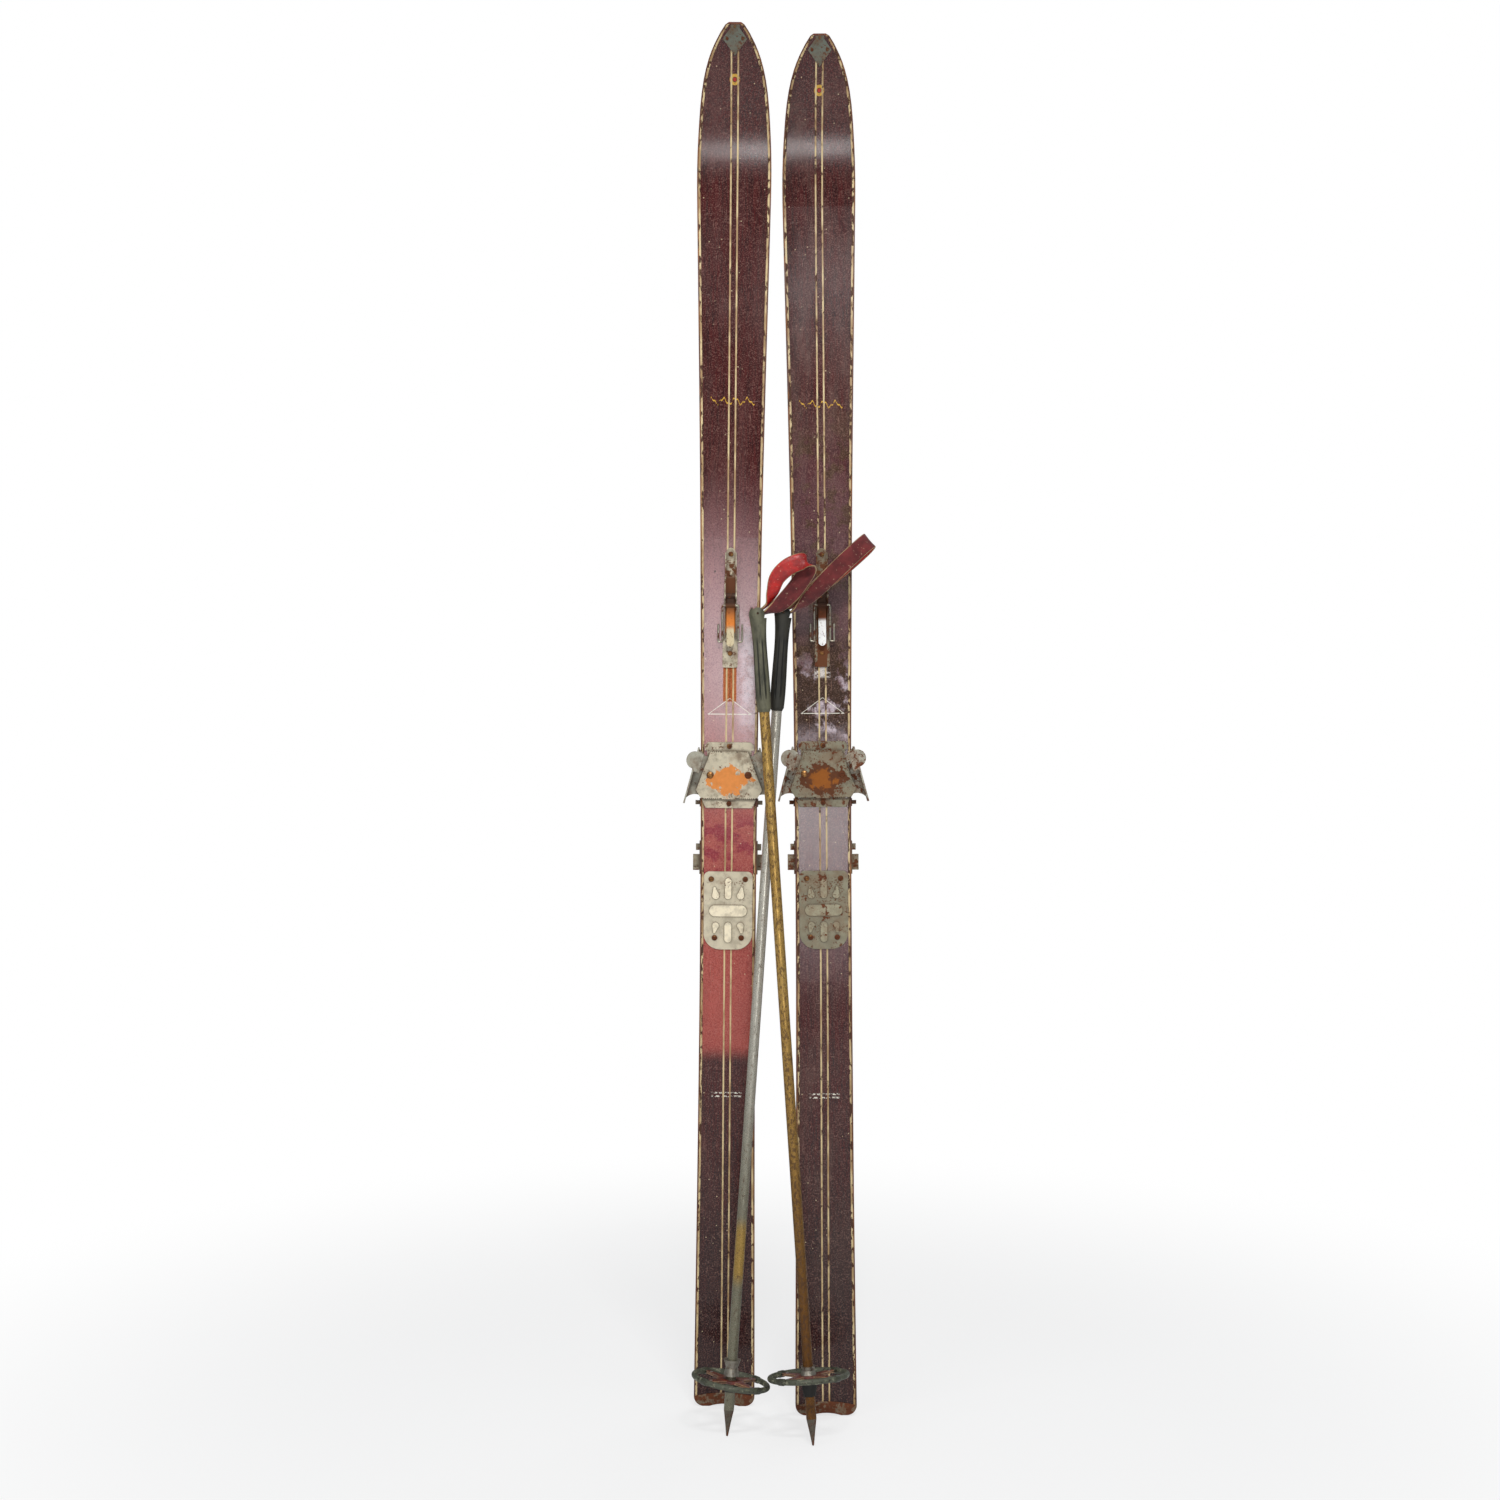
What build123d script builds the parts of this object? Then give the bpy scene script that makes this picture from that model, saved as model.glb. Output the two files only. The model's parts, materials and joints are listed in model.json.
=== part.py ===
"""A pair of vintage laminated wooden skis with front-throw cable bindings, and their two steel poles.

The skis stand upright on their tails, binding side towards -Y, +X to the right and +Z up. The origin is on
the floor under the middle of the set. Each ski is modelled once in its own frame: x across, z up from the
tail, and the running surface near y = 0 with the top side towards -y. Everything is in millimetres.
"""

import os
from math import atan2, cos, degrees, pi, radians, sin

from build123d import *

# Ski blank
SKI_HEIGHT = 1752.0
TAIL_THICK = 9.0
TIP_THICK = 8.0
TAIL_LIFT = 1.5
CAMBER = 9.0
DECK = 34.0  # height of the flat binding deck over the running plane
DECK_BOTTOM = 560.0
DECK_TOP = 1125.0
BEND_START = 1552.0
BEND_RADIUS = 280.0
BEND_ANGLE = radians(36.0)
HALF_WIDTHS = [  # height above the tail, half width
    (0, 39.5),
    (250, 37.5),
    (505, 35.7),
    (680, 35.4),
    (1063, 38.0),
    (1266, 40.9),
    (1420, 44.0),
    (1535, 46.3),
    (1590, 46.7),
    (1648, 43.9),
    (1683, 39.9),
    (1717, 30.2),
    (1732, 22.5),
    (1745, 13.7),
    (SKI_HEIGHT, 7.5),
]
TAIL_CORNER = 13.0
TAIL_SCALLOP_RADIUS = 62.0
TAIL_SCALLOP_DEPTH = 3.0
BLANK_REACH = 70.0  # half length of the blocks that layers are cut from
GLUE = 0.04  # glue line or seat gap between pieces that rest on each other
SEAT = DECK + GLUE  # height where a fitting's underside lies

# Layers of the ski
SOLE_THICK = 3.0
GROOVE_WIDTH = 9.0
GROOVE_DEPTH = 1.8
TOP_THICK = 1.4
RIM = 1.8  # bare wood outside the edge strips
STRIP_WIDTH = 2.4
STRIPE_WIDTH = 2.0
STRIPE_OFFSET = 4.2
STRIPE_ENDS = (12.0, 1722.0)
EDGE_WIDTH = 6.0
EDGE_THICK = 2.0
EDGE_ENDS = (45.0, 1560.0)
EDGE_SEGMENTS = 6
EDGE_GAP = 0.6
EDGE_SCREW_RADIUS = 1.6
EDGE_SCREW_DEPTH = 5.0
SCREWS_PER_SEGMENT = 4
END_PLATE_THICK = 0.8
NAIL_RADIUS = 1.7
NAIL_PROUD = 0.5

# Front throw
THROW_TOP = 1112.0
THROW_BOTTOM = 961.0
THROW_FLOOR = 2.0
THROW_HALF = 7.9
WALL_THICK = 1.5
WALL_HEIGHT = 6.0
AXLE_HEIGHT = 1051.6
AXLE_OUT = 8.5  # axle centre over the deck
AXLE_RADIUS = 1.8
RUNNING_GAP = 0.05
LEVER_LENGTH = 64.0
LEVER_HALF = 4.8
LEVER_THICK = 2.0
BAIL_ARM = 12.0  # bail bar to axle
BAIL_WIRE = 1.3
BAIL_HALF = 10.0
BAIL_LENGTH = 46.0

# Toe iron
TOE_TOP = 866.6
TOE_BOTTOM = 782.9
TOE_PLATE_THICK = 2.0
WING_THICK = 2.0
COVER_THICK = 2.0
LAYER_GAP = 0.05
TOE_SCREW_X = 24.0
TOE_SCREW_Z = 825.0
WING_WALL_FRONT = (39.3, 860.0)
WING_WALL_REAR = (57.6, 791.0)
WING_WALL_HEIGHT = 22.0
WING_TRAVEL = 6.0

# Foot plate
FOOT_TOP = 701.8
FOOT_BOTTOM = 602.0
FOOT_HALF = 31.0
FOOT_THICK = 1.5
EMBOSS = 1.0

# Poles
POLE_LENGTH = 1046.0
SHAFT_RADIUS = 6.4
TUBE_WALL = 1.2
HUB_BORE = SHAFT_RADIUS + GLUE
GRIP_LENGTH = 134.0
PIN_DROP = 11.0  # strap pin below the top of the grip
PIN_RADIUS = 1.5
SPIKE_LENGTH = 48.0
RING_TUBE = 3.6
STRAP_THICK = 2.3
FRONT_BASKET = (86.0, 51.4, (-5.5, 0.0))  # height on the pole, radius, tilt about x and y
FRONT_COLLAR = (88.5, 99.0, 2.6)  # from, to, flare of the upper end
FRONT_CONE = (83.5, 62.0)  # from, to
REAR_BASKET = (70.0, 50.0, (-3.0, 6.0))
REAR_COLLAR = (77.0, 97.0, 4.4)
REAR_CONE = (64.0, 57.0)

# Where the pieces of the set stand before it is centred on the origin
SET_CENTRE = (3.6055, -71.8764)
LEFT_LIFT = 0.2333  # raises a splayed ski so that its lowest corner stands on the floor
RIGHT_LIFT = 0.0773
LEFT_SKI_X = -66.5
LEFT_SPLAY = 0.505
RIGHT_SKI_X = 65.2
RIGHT_SKI_Y = -36.0
RIGHT_SPLAY = -0.355
RIGHT_LEAN = 3.3
FRONT_POLE_TIP = (45.6, -154.0, 0.0)
FRONT_POLE_TOP = (-23.8, -68.0)
REAR_POLE_TIP = (-61.6, -121.0, 0.0)
REAR_POLE_TOP = (9.9, -56.0)


# ---------------------------------------------------------------- helpers


def plate(sketch, level, thick):
    """A flat piece: a sketch in (x, z), standing at y = -level and growing `thick` towards -y."""
    place = Plane((0, -level, 0), x_dir=(1, 0, 0), z_dir=(0, -1, 0))
    return extrude(place * sketch, amount=thick, dir=(0, -1, 0))


def prism(sketch):
    """A sketch in (x, z) run right through the ski from front to back."""
    return plate(sketch, -200.0, 500.0)


def cross_rod(radius, length, y, z):
    """A rod along x."""
    return Pos(0, y, z) * Rot(0, 90, 0) * Cylinder(radius, length)


def mirror_x(shape):
    return mirror(shape, about=Plane.YZ)


def solids_of(*shapes):
    """Every separate solid of the shapes, as one group."""
    return Compound(children=[solid for shape in shapes for solid in shape.solids()])


# ---------------------------------------------------------------- ski blank


def tip_edges(level):
    """The upturned end of a line that runs `level` over the running surface: an arc, then a straight."""
    radius = BEND_RADIUS - level
    start = (-level, BEND_START)
    middle = (-BEND_RADIUS + radius * cos(BEND_ANGLE / 2), BEND_START + radius * sin(BEND_ANGLE / 2))
    end = (-BEND_RADIUS + radius * cos(BEND_ANGLE), BEND_START + radius * sin(BEND_ANGLE))
    straight = (SKI_HEIGHT - BEND_START - BEND_RADIUS * sin(BEND_ANGLE)) / cos(BEND_ANGLE)
    tip = (end[0] - straight * sin(BEND_ANGLE), end[1] + straight * cos(BEND_ANGLE))
    return [ThreePointArc(start, middle, end), Line(end, tip)], tip


def sole_line(level):
    """A line `level` inside the running surface, from the tail to the tip, in (y, z)."""
    points = [
        (-TAIL_LIFT - level, 0),
        (-level, 90),
        (-0.68 * CAMBER - level, 420),
        (-CAMBER - level, 800),
        (-0.64 * CAMBER - level, 1190),
        (-level, BEND_START),
    ]
    start = (0.03, 1)
    edges, tip = tip_edges(level)
    return [Spline(*points, tangents=[start, (0, 1)])] + edges, points[0], tip


def deck_line(depth):
    """A line `depth` under the top surface, from the tail to the tip, in (y, z)."""
    tail = [
        (-TAIL_LIFT - TAIL_THICK + depth, 0),
        (-TAIL_THICK - 1 + depth, 110),
        (-18 + depth, 310),
        (-DECK + depth, DECK_BOTTOM),
    ]
    fore = [
        (-DECK + depth, DECK_TOP),
        (-29.5 + depth, 1240),
        (-18.5 + depth, 1400),
        (-TIP_THICK + depth, BEND_START),
    ]
    edges, tip = tip_edges(TIP_THICK - depth)
    tail_edge = Spline(*tail, tangents=[(0.03, 1), (0, 1)])
    fore_edge = Spline(*fore, tangents=[(0, 1), (0, 1)])
    return [tail_edge, Line(tail[-1], fore[0]), fore_edge] + edges, tail[0], tip


def layer(inner, outer):
    """The full-width block between two lengthwise lines of the ski."""
    inner_edges, inner_tail, inner_tip = inner
    outer_edges, outer_tail, outer_tip = outer
    ends = [Line(inner_tail, outer_tail), Line(inner_tip, outer_tip)]
    face = make_face(inner_edges + outer_edges + ends)
    return extrude(Plane.YZ * face, amount=BLANK_REACH, both=True)


def plan(inset=0.0):
    """The ski seen from the front, pulled in by `inset` along both sides."""
    right = [(half - inset, z) for z, half in HALF_WIDTHS]
    left = [(-x, z) for x, z in right]
    sides = [Spline(*right), Spline(*left)]
    ends = [Line(right[0], left[0]), Line(right[-1], left[-1])]
    outline = make_face(sides + ends)
    corners = outline.vertices().sort_by(Axis.Y)[:2]
    outline = fillet(corners, TAIL_CORNER - inset / 2)
    scallop_y = TAIL_SCALLOP_DEPTH - TAIL_SCALLOP_RADIUS
    return outline - Pos(0, scallop_y) * Circle(TAIL_SCALLOP_RADIUS)


def half_width(z):
    """Half width of the ski at a height, straight between the stations."""
    for (z0, w0), (z1, w1) in zip(HALF_WIDTHS, HALF_WIDTHS[1:]):
        if z <= z1:
            return w0 + (w1 - w0) * (z - z0) / (z1 - z0)
    return HALF_WIDTHS[-1][1]


def edge_segment_bounds():
    """Lowest and highest z of each steel edge segment."""
    low, high = EDGE_ENDS
    pitch = (high - low) / EDGE_SEGMENTS
    return [(low + i * pitch, low + (i + 1) * pitch - EDGE_GAP) for i in range(EDGE_SEGMENTS)]


def edge_screw_sketch(radius):
    dots = []
    for low, high in edge_segment_bounds():
        pitch = (high - low) / SCREWS_PER_SEGMENT
        for i in range(SCREWS_PER_SEGMENT):
            z = low + (i + 0.5) * pitch
            x = half_width(z) - EDGE_WIDTH / 2
            dots += [Pos(x, z) * Circle(radius), Pos(-x, z) * Circle(radius)]
    return Sketch(children=dots)


# ---------------------------------------------------------------- end plates


def tip_plate_sketch():
    neck, wide = 5.6, 15.0
    points = [(neck, SKI_HEIGHT - 2), (neck, 1744), (wide, 1732.5), (0, 1715)]
    return make_face(Polyline(*points, *[(-x, z) for x, z in reversed(points[:3])], close=True))


def tail_plate_sketch():
    edge = ThreePointArc((-45, 11), (0, 17.5), (45, 11))
    frame = Polyline((45, 11), (45, -5), (-45, -5), (-45, 11))
    return make_face(edge + frame)


def nail_sketch(radius):
    places = [(-9.5, 1732.5), (9.5, 1732.5), (0, 1745), (-27, 7.5), (27, 7.5), (-10, 11), (10, 11)]
    return Sketch(children=[Pos(x, z) * Circle(radius) for x, z in places])


# ---------------------------------------------------------------- screws


def wood_screw(head, shank, depth):
    """A round-headed slotted screw along z, the underside of its head at z = 0."""
    dome = 1.7
    rim = 0.5
    arc = ThreePointArc((head, rim), (head * 0.6, dome * 0.87), (0, dome))
    profile = Polyline((0, dome), (0, 0), (head, 0), (head, rim)) + arc
    body = revolve(Plane.XZ * make_face(profile), Axis.Z)
    slot = Pos(0, 0, dome) * Box(2 * head, 0.9, 1.3)
    pin = Pos(0, 0, -depth / 2) * Cylinder(shank, depth)
    return body - slot + pin


def screw_places():
    """Where each binding screw sits: x, z, height of its seat, head radius, shank radius, depth."""
    foot = SEAT + FOOT_THICK + GLUE
    toe = SEAT + TOE_PLATE_THICK + GLUE
    cover = SEAT + TOE_PLATE_THICK + WING_THICK + 2 * LAYER_GAP + COVER_THICK + GLUE
    throw = SEAT + THROW_FLOOR + GLUE
    places = [(side * 21.6, 692, foot, 3.4, 2.0, 16) for side in (-1, 1)]
    places += [(side * 17.0, 617, foot, 3.4, 2.0, 16) for side in (-1, 1)]
    places += [(0, z, toe, 3.2, 2.0, 16) for z in (TOE_TOP - 5.4, TOE_BOTTOM + 5.6)]
    places += [(side * TOE_SCREW_X, TOE_SCREW_Z, cover, 4.4, 2.8, 20) for side in (-1, 1)]
    places += [(0, z, throw, 3.1, 2.0, 16) for z in (1104, 979)]
    return places


def binding_screws():
    """Screws of the foot plate, the toe iron and the front throw."""
    return [
        Pos(x, -seat, z) * Rot(90, 0, 0) * wood_screw(head, shank, depth)
        for x, z, seat, head, shank, depth in screw_places()
    ]


def screw_holes():
    """The hole each binding screw's shank stands in."""
    holes = []
    for x, z, seat, _, shank, depth in screw_places():
        length = depth + 2 * GLUE
        centre = -seat + depth / 2
        holes.append(Pos(x, centre, z) * Rot(90, 0, 0) * Cylinder(shank + GLUE, length))
    return holes


# ---------------------------------------------------------------- front throw


def throw_base():
    """Channel plate of the front throw: rounded front, low walls, two axle cheeks and a wide rear end."""
    floor_sketch = (
        Pos(0, THROW_TOP - 5.8) * Circle(5.8)
        + Pos(0, (THROW_TOP - 5.8 + THROW_BOTTOM) / 2) * Rectangle(11.6, THROW_TOP - 5.8 - THROW_BOTTOM)
        + Pos(0, (1076 + THROW_BOTTOM) / 2) * Rectangle(2 * THROW_HALF, 1076 - THROW_BOTTOM)
        + Pos(0, (1004 + THROW_BOTTOM) / 2) * RectangleRounded(19, 1004 - THROW_BOTTOM, 2.5)
    )
    floor = plate(floor_sketch, SEAT, THROW_FLOOR)
    wall_x = THROW_HALF - WALL_THICK / 2
    front_x = 5.8 + WALL_THICK / 2
    front_wall = plate(Pos(front_x, 1089) * Rectangle(WALL_THICK, 34), SEAT, WALL_HEIGHT)
    rear_wall = plate(Pos(wall_x, 1034) * Rectangle(WALL_THICK, 72), SEAT, WALL_HEIGHT)
    cheek_side = Pos(wall_x, -SEAT - AXLE_OUT / 2, AXLE_HEIGHT) * Box(WALL_THICK, AXLE_OUT, 9)
    cheek_end = Pos(wall_x, -SEAT - AXLE_OUT, AXLE_HEIGHT) * Rot(0, 90, 0) * Cylinder(4.5, WALL_THICK)
    side = front_wall + rear_wall + cheek_side + cheek_end
    boss = Pos(0, -SEAT - THROW_FLOOR - 1.2, 1079) * Rot(90, 0, 0) * Cone(3.2, 0.6, 2.4)
    base = floor + side + mirror_x(side) + boss
    return base - cross_rod(AXLE_RADIUS + GLUE, 40, -SEAT - AXLE_OUT, AXLE_HEIGHT)


def throw_axle():
    return cross_rod(AXLE_RADIUS, 2 * THROW_HALF + 0.4, -SEAT - AXLE_OUT, AXLE_HEIGHT)


def throw_lever():
    """Tongue lever on the axle, lying back over the channel, with an eye for the cable bail."""
    y = -SEAT - AXLE_OUT
    inner = THROW_HALF - WALL_THICK - 0.3
    tip = AXLE_HEIGHT - LEVER_LENGTH
    outline = (
        Pos(0, (AXLE_HEIGHT + tip + LEVER_HALF) / 2) * Rectangle(2 * LEVER_HALF, LEVER_LENGTH - LEVER_HALF)
        + Pos(0, tip + LEVER_HALF) * Circle(LEVER_HALF)
    )
    tongue = plate(outline, SEAT + AXLE_OUT - LEVER_THICK / 2, LEVER_THICK)
    knuckle = cross_rod(3.4, 2 * inner, y, AXLE_HEIGHT)
    eye = cross_rod(2.9, 2 * inner, y, AXLE_HEIGHT - BAIL_ARM)
    lever = tongue + knuckle + eye
    lever -= cross_rod(AXLE_RADIUS + RUNNING_GAP, 40, y, AXLE_HEIGHT)
    return lever - cross_rod(BAIL_WIRE + RUNNING_GAP, 40, y, AXLE_HEIGHT - BAIL_ARM)


def cable_bail():
    """Wire yoke through the lever's eye; each arm ends in a turned-back hook for a cable end."""
    y = -SEAT - AXLE_OUT
    bar = AXLE_HEIGHT - BAIL_ARM
    foot = bar - BAIL_LENGTH
    hook = 5.0
    points = [
        (BAIL_HALF + hook, foot + 22),
        (BAIL_HALF + hook, foot),
        (BAIL_HALF, foot),
        (BAIL_HALF, bar),
        (-BAIL_HALF, bar),
        (-BAIL_HALF, foot),
        (-BAIL_HALF - hook, foot),
        (-BAIL_HALF - hook, foot + 22),
    ]
    path = FilletPolyline(*[(x, y, z) for x, z in points], radius=1.9)
    return sweep((path ^ 0) * Circle(BAIL_WIRE), path)


# ---------------------------------------------------------------- toe iron


def toe_plate():
    """Base plate: a top strip with clipped corners, a flared bottom strip and the sheet between."""
    top = [(-27, TOE_TOP), (27, TOE_TOP), (31, TOE_TOP - 4), (31, 856), (-31, 856), (-31, TOE_TOP - 4)]
    bottom = [(-34.5, 794), (34.5, 794), (29.6, TOE_BOTTOM), (-29.6, TOE_BOTTOM)]
    strips = [plate(Polygon(*points, align=None), SEAT, TOE_PLATE_THICK) for points in (top, bottom)]
    return plate(Pos(0, 825) * Rectangle(56, 66), SEAT, TOE_PLATE_THICK) + strips


def rack(x0, x1, z, height, pitch=2.6):
    """Triangular teeth in a row along x, pointing up for a positive height, with roots inside the plate."""
    root = -height / 3
    teeth = []
    for i in range(round((x1 - x0) / pitch)):
        x = x0 + i * pitch
        foot = [(x, z + root), (x + pitch, z + root), (x + pitch, z)]
        teeth.append(Polygon(*foot, (x + pitch / 2, z + height), (x, z), align=None))
    return teeth


def toe_cover():
    """Clamp plate over both wings, with toothed edges, two feet on the base plate and screw holes."""
    half = [(24, 853.5), (42, 806), (36, 796)]
    outline = Polygon(*half, *[(-x, z) for x, z in reversed(half)], align=None)
    teeth = rack(11.0, 24.0, 853.5, 1.9) + rack(-24.0, -11.0, 853.5, 1.9)
    teeth += rack(13.0, 32.5, 796, -1.7) + rack(-32.5, -13.0, 796, -1.7)
    for tooth in teeth:
        outline += tooth
    base = SEAT + TOE_PLATE_THICK + GLUE
    clearance = WING_THICK + 2 * LAYER_GAP - GLUE
    cover = plate(outline, base + clearance, COVER_THICK)
    tabs = Pos(0, 852.5) * Rectangle(18, 5) + Pos(0, 796.8) * Rectangle(18, 5)
    return cover + plate(tabs, base, clearance + COVER_THICK)


def toe_wing():
    """Right-hand wing: slotted base leaf, upstanding side wall, sole lug turned in and ear turned out."""
    front_x, front_z = WING_WALL_FRONT
    rear_x, rear_z = WING_WALL_REAR
    inner_x = 16.0
    level = SEAT + TOE_PLATE_THICK + LAYER_GAP
    edges = Polyline(
        (34, 797.5), (inner_x, 797.5), (inner_x, 849), (30, 849), (front_x, front_z), (rear_x, rear_z)
    )
    under = ThreePointArc((rear_x, rear_z), (44, 800.5), (34, 797.5))
    slot = SlotOverall(6.6 + WING_TRAVEL, 6.4)
    leaf = make_face(edges + under) - Pos(TOE_SCREW_X + WING_TRAVEL / 2, TOE_SCREW_Z) * slot
    base = plate(leaf, level, WING_THICK)
    run = Vector(rear_x - front_x, rear_z - front_z)
    across = Vector(run.Y, -run.X).normalized() * WING_THICK
    wall_points = [(front_x, front_z), (rear_x, rear_z)]
    wall_points += [(rear_x + across.X, rear_z + across.Y), (front_x + across.X, front_z + across.Y)]
    wall = plate(Polygon(*wall_points, align=None), level, WING_WALL_HEIGHT)
    top = level + WING_WALL_HEIGHT - WING_THICK
    lug = Polygon((39.6, 857), (31.6, 852), (38.2, 828), (46.9, 832), align=None)
    ear_x = front_x + (front_z - 845) / (front_z - rear_z) * (rear_x - front_x)
    slope = degrees(atan2(rear_x - front_x, front_z - rear_z))
    ear = Pos(ear_x, 845) * Ellipse(10.5, 11)
    ear -= Pos(ear_x - 13.5, 845) * Rot(0, 0, slope) * Rectangle(26, 60)
    return base + wall + plate(lug, top, WING_THICK) + plate(ear, top, WING_THICK)


# ---------------------------------------------------------------- foot plate and side hooks


def foot_plate():
    """Thin heel plate with raised treads."""
    tall = FOOT_TOP - FOOT_BOTTOM
    middle = (FOOT_TOP + FOOT_BOTTOM) / 2
    body = Pos(0, middle) * Rectangle(2 * FOOT_HALF, tall)
    body = fillet(body.vertices().group_by(Axis.Y)[-1], 7.0)
    body = fillet(body.vertices().group_by(Axis.Y)[0], 21.0)
    treads = [
        Pos(0, 680) * SlotOverall(27, 8.4, rotation=90),
        Pos(0, 651.5) * SlotOverall(48, 14.4),
        Pos(0, 624) * SlotOverall(26, 9, rotation=90),
    ]
    for side in (-1, 1):
        treads.append(teardrop(side * 15.8, 671, 4.6, 11, side))
        treads.append(teardrop(side * 15.8, 632.5, 4.2, -9.5, side))
    sheet = plate(body, SEAT, FOOT_THICK)
    return sheet + [plate(tread, SEAT + FOOT_THICK - GLUE, EMBOSS) for tread in treads]


def teardrop(x, z, radius, reach, side):
    """A round end at (x, z) drawn out to a blunt point `reach` higher and a little outwards."""
    point_x = x + side * 1.6
    body = Pos(x, z) * Circle(radius)
    base = [(x - radius, z), (x + radius, z)]
    tail = Polygon(*base, (point_x + 1.2, z + reach), (point_x - 1.2, z + reach), align=None)
    return body + tail


def side_hooks(blank):
    """Cable guides on the right side wall: a small lug, and a strip with a small and a large hook."""
    strip_top, strip_bottom = 739.0, 697.0
    depth = 11.0
    level = 13.0
    wall = half_width(700)

    def block(z0, z1, reach, thick=depth, out=level):
        middle = wall - 2 + (reach + 2) / 2
        return plate(Pos(middle, (z0 + z1) / 2) * Rectangle(reach + 2, z1 - z0), out, thick)

    strip = block(strip_bottom, strip_top, 1.6)
    small = block(727.5, 735.5, 6.2, 4.0, 16.5)
    large = block(702, 722, 9.8, 3.0, 17.0) + block(702, 706, 9.8, 8.0, 14.0)
    lug = block(783.5, 793.5, 1.8) + block(786, 791, 7.2, 4.5, 16.0)
    parts = [strip + small + large - blank, lug - blank]
    return parts


# ---------------------------------------------------------------- one ski


def wooden_core(outline):
    """The laminated body between the sole and the top layers, with a bare rim beside the edge strips."""
    body = layer(sole_line(SOLE_THICK + GLUE), deck_line(0)) & prism(outline)
    pocket = layer(deck_line(TOP_THICK + GLUE), deck_line(-1)) & prism(plan(RIM - GLUE))
    return body - pocket


def sole_and_edges(outline):
    """The running sole with its groove, and the steel edge segments let into it."""
    low, high = EDGE_ENDS
    sole = layer(sole_line(0), sole_line(SOLE_THICK)) & prism(outline)
    seat_window = Pos(0, (low + high) / 2) * Rectangle(120, high - low + 2 * GLUE)
    seat = layer(sole_line(-1), sole_line(EDGE_THICK + GLUE)) & prism(
        seat_window - plan(EDGE_WIDTH + GLUE)
    )
    groove = layer(sole_line(-1), sole_line(GROOVE_DEPTH)) & prism(
        Pos(0, 760) * Rectangle(GROOVE_WIDTH, 1440)
    )
    ring = layer(sole_line(0), sole_line(EDGE_THICK)) & prism(outline - plan(EDGE_WIDTH))
    segments = []
    for start, end in edge_segment_bounds():
        for side in (-1, 1):
            window = Pos(side * 30, (start + end) / 2) * Rectangle(60, end - start)
            segments.append(ring & prism(window))
    return sole - seat - groove, segments


def top_layers():
    """The painted top sheet, the plastic edge strips and the two centre stripes, all in one layer."""
    low, high = STRIPE_ENDS
    skin = layer(deck_line(TOP_THICK), deck_line(0))
    stripe_height = high - low
    stripe_cut = Sketch()
    stripe_sketch = Sketch()
    for side in (-1, 1):
        centre = Pos(side * STRIPE_OFFSET, (low + high) / 2)
        stripe_sketch += centre * Rectangle(STRIPE_WIDTH, stripe_height)
        stripe_cut += centre * Rectangle(STRIPE_WIDTH + 2 * GLUE, stripe_height + 2 * GLUE)
    strips = skin & prism(plan(RIM) - plan(RIM + STRIP_WIDTH))
    sheet = (skin & prism(plan(RIM + STRIP_WIDTH + GLUE))) - prism(stripe_cut)
    return sheet, strips, skin & prism(stripe_sketch)


def ski_pieces():
    """Every piece of one ski in the ski's own frame, by name."""
    outline = plan()
    edge_screws = layer(sole_line(0), sole_line(EDGE_SCREW_DEPTH)) & prism(
        edge_screw_sketch(EDGE_SCREW_RADIUS)
    )
    edge_holes = layer(sole_line(-1), sole_line(EDGE_SCREW_DEPTH + GLUE)) & prism(
        edge_screw_sketch(EDGE_SCREW_RADIUS + GLUE)
    )
    nails = layer(deck_line(5), deck_line(-END_PLATE_THICK - NAIL_PROUD)) & prism(nail_sketch(NAIL_RADIUS))
    nail_holes = layer(deck_line(5 + GLUE), deck_line(-3)) & prism(nail_sketch(NAIL_RADIUS + GLUE))
    holes = screw_holes()

    core = wooden_core(outline) - edge_holes - nail_holes - holes
    sole, segments = sole_and_edges(outline)
    sheet, strips, stripes = top_layers()
    plate_layer = layer(deck_line(-GLUE), deck_line(-GLUE - END_PLATE_THICK))
    tip_plate = plate_layer & prism(tip_plate_sketch())
    tail_plate = plate_layer & prism(tail_plate_sketch() & outline)
    wing = toe_wing()
    hooks = side_hooks(prism(plan(-GLUE)))
    return {
        "ski_core": core,
        "sole": sole - edge_holes,
        "steel_edges": solids_of(*[segment - edge_holes for segment in segments]),
        "edge_screws": solids_of(edge_screws),
        "top_sheet": solids_of(sheet - nail_holes - holes),
        "top_edge_strips": solids_of(strips - nail_holes),
        "centre_stripes": solids_of(stripes - nail_holes - holes),
        "tip_plate": tip_plate - nail_holes,
        "tail_plate": tail_plate - nail_holes,
        "plate_nails": solids_of(nails),
        "throw_base": throw_base() - holes,
        "throw_lever": throw_lever(),
        "throw_axle": throw_axle(),
        "cable_bail": cable_bail(),
        "toe_plate": toe_plate() - holes,
        "toe_cover": toe_cover() - holes,
        "toe_wing_left": mirror_x(wing),
        "toe_wing_right": wing,
        "foot_plate": foot_plate() - holes,
        "binding_screws": solids_of(*binding_screws()),
        "side_hooks": solids_of(*hooks, *[mirror_x(hook) for hook in hooks]),
    }


# ---------------------------------------------------------------- poles


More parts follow.
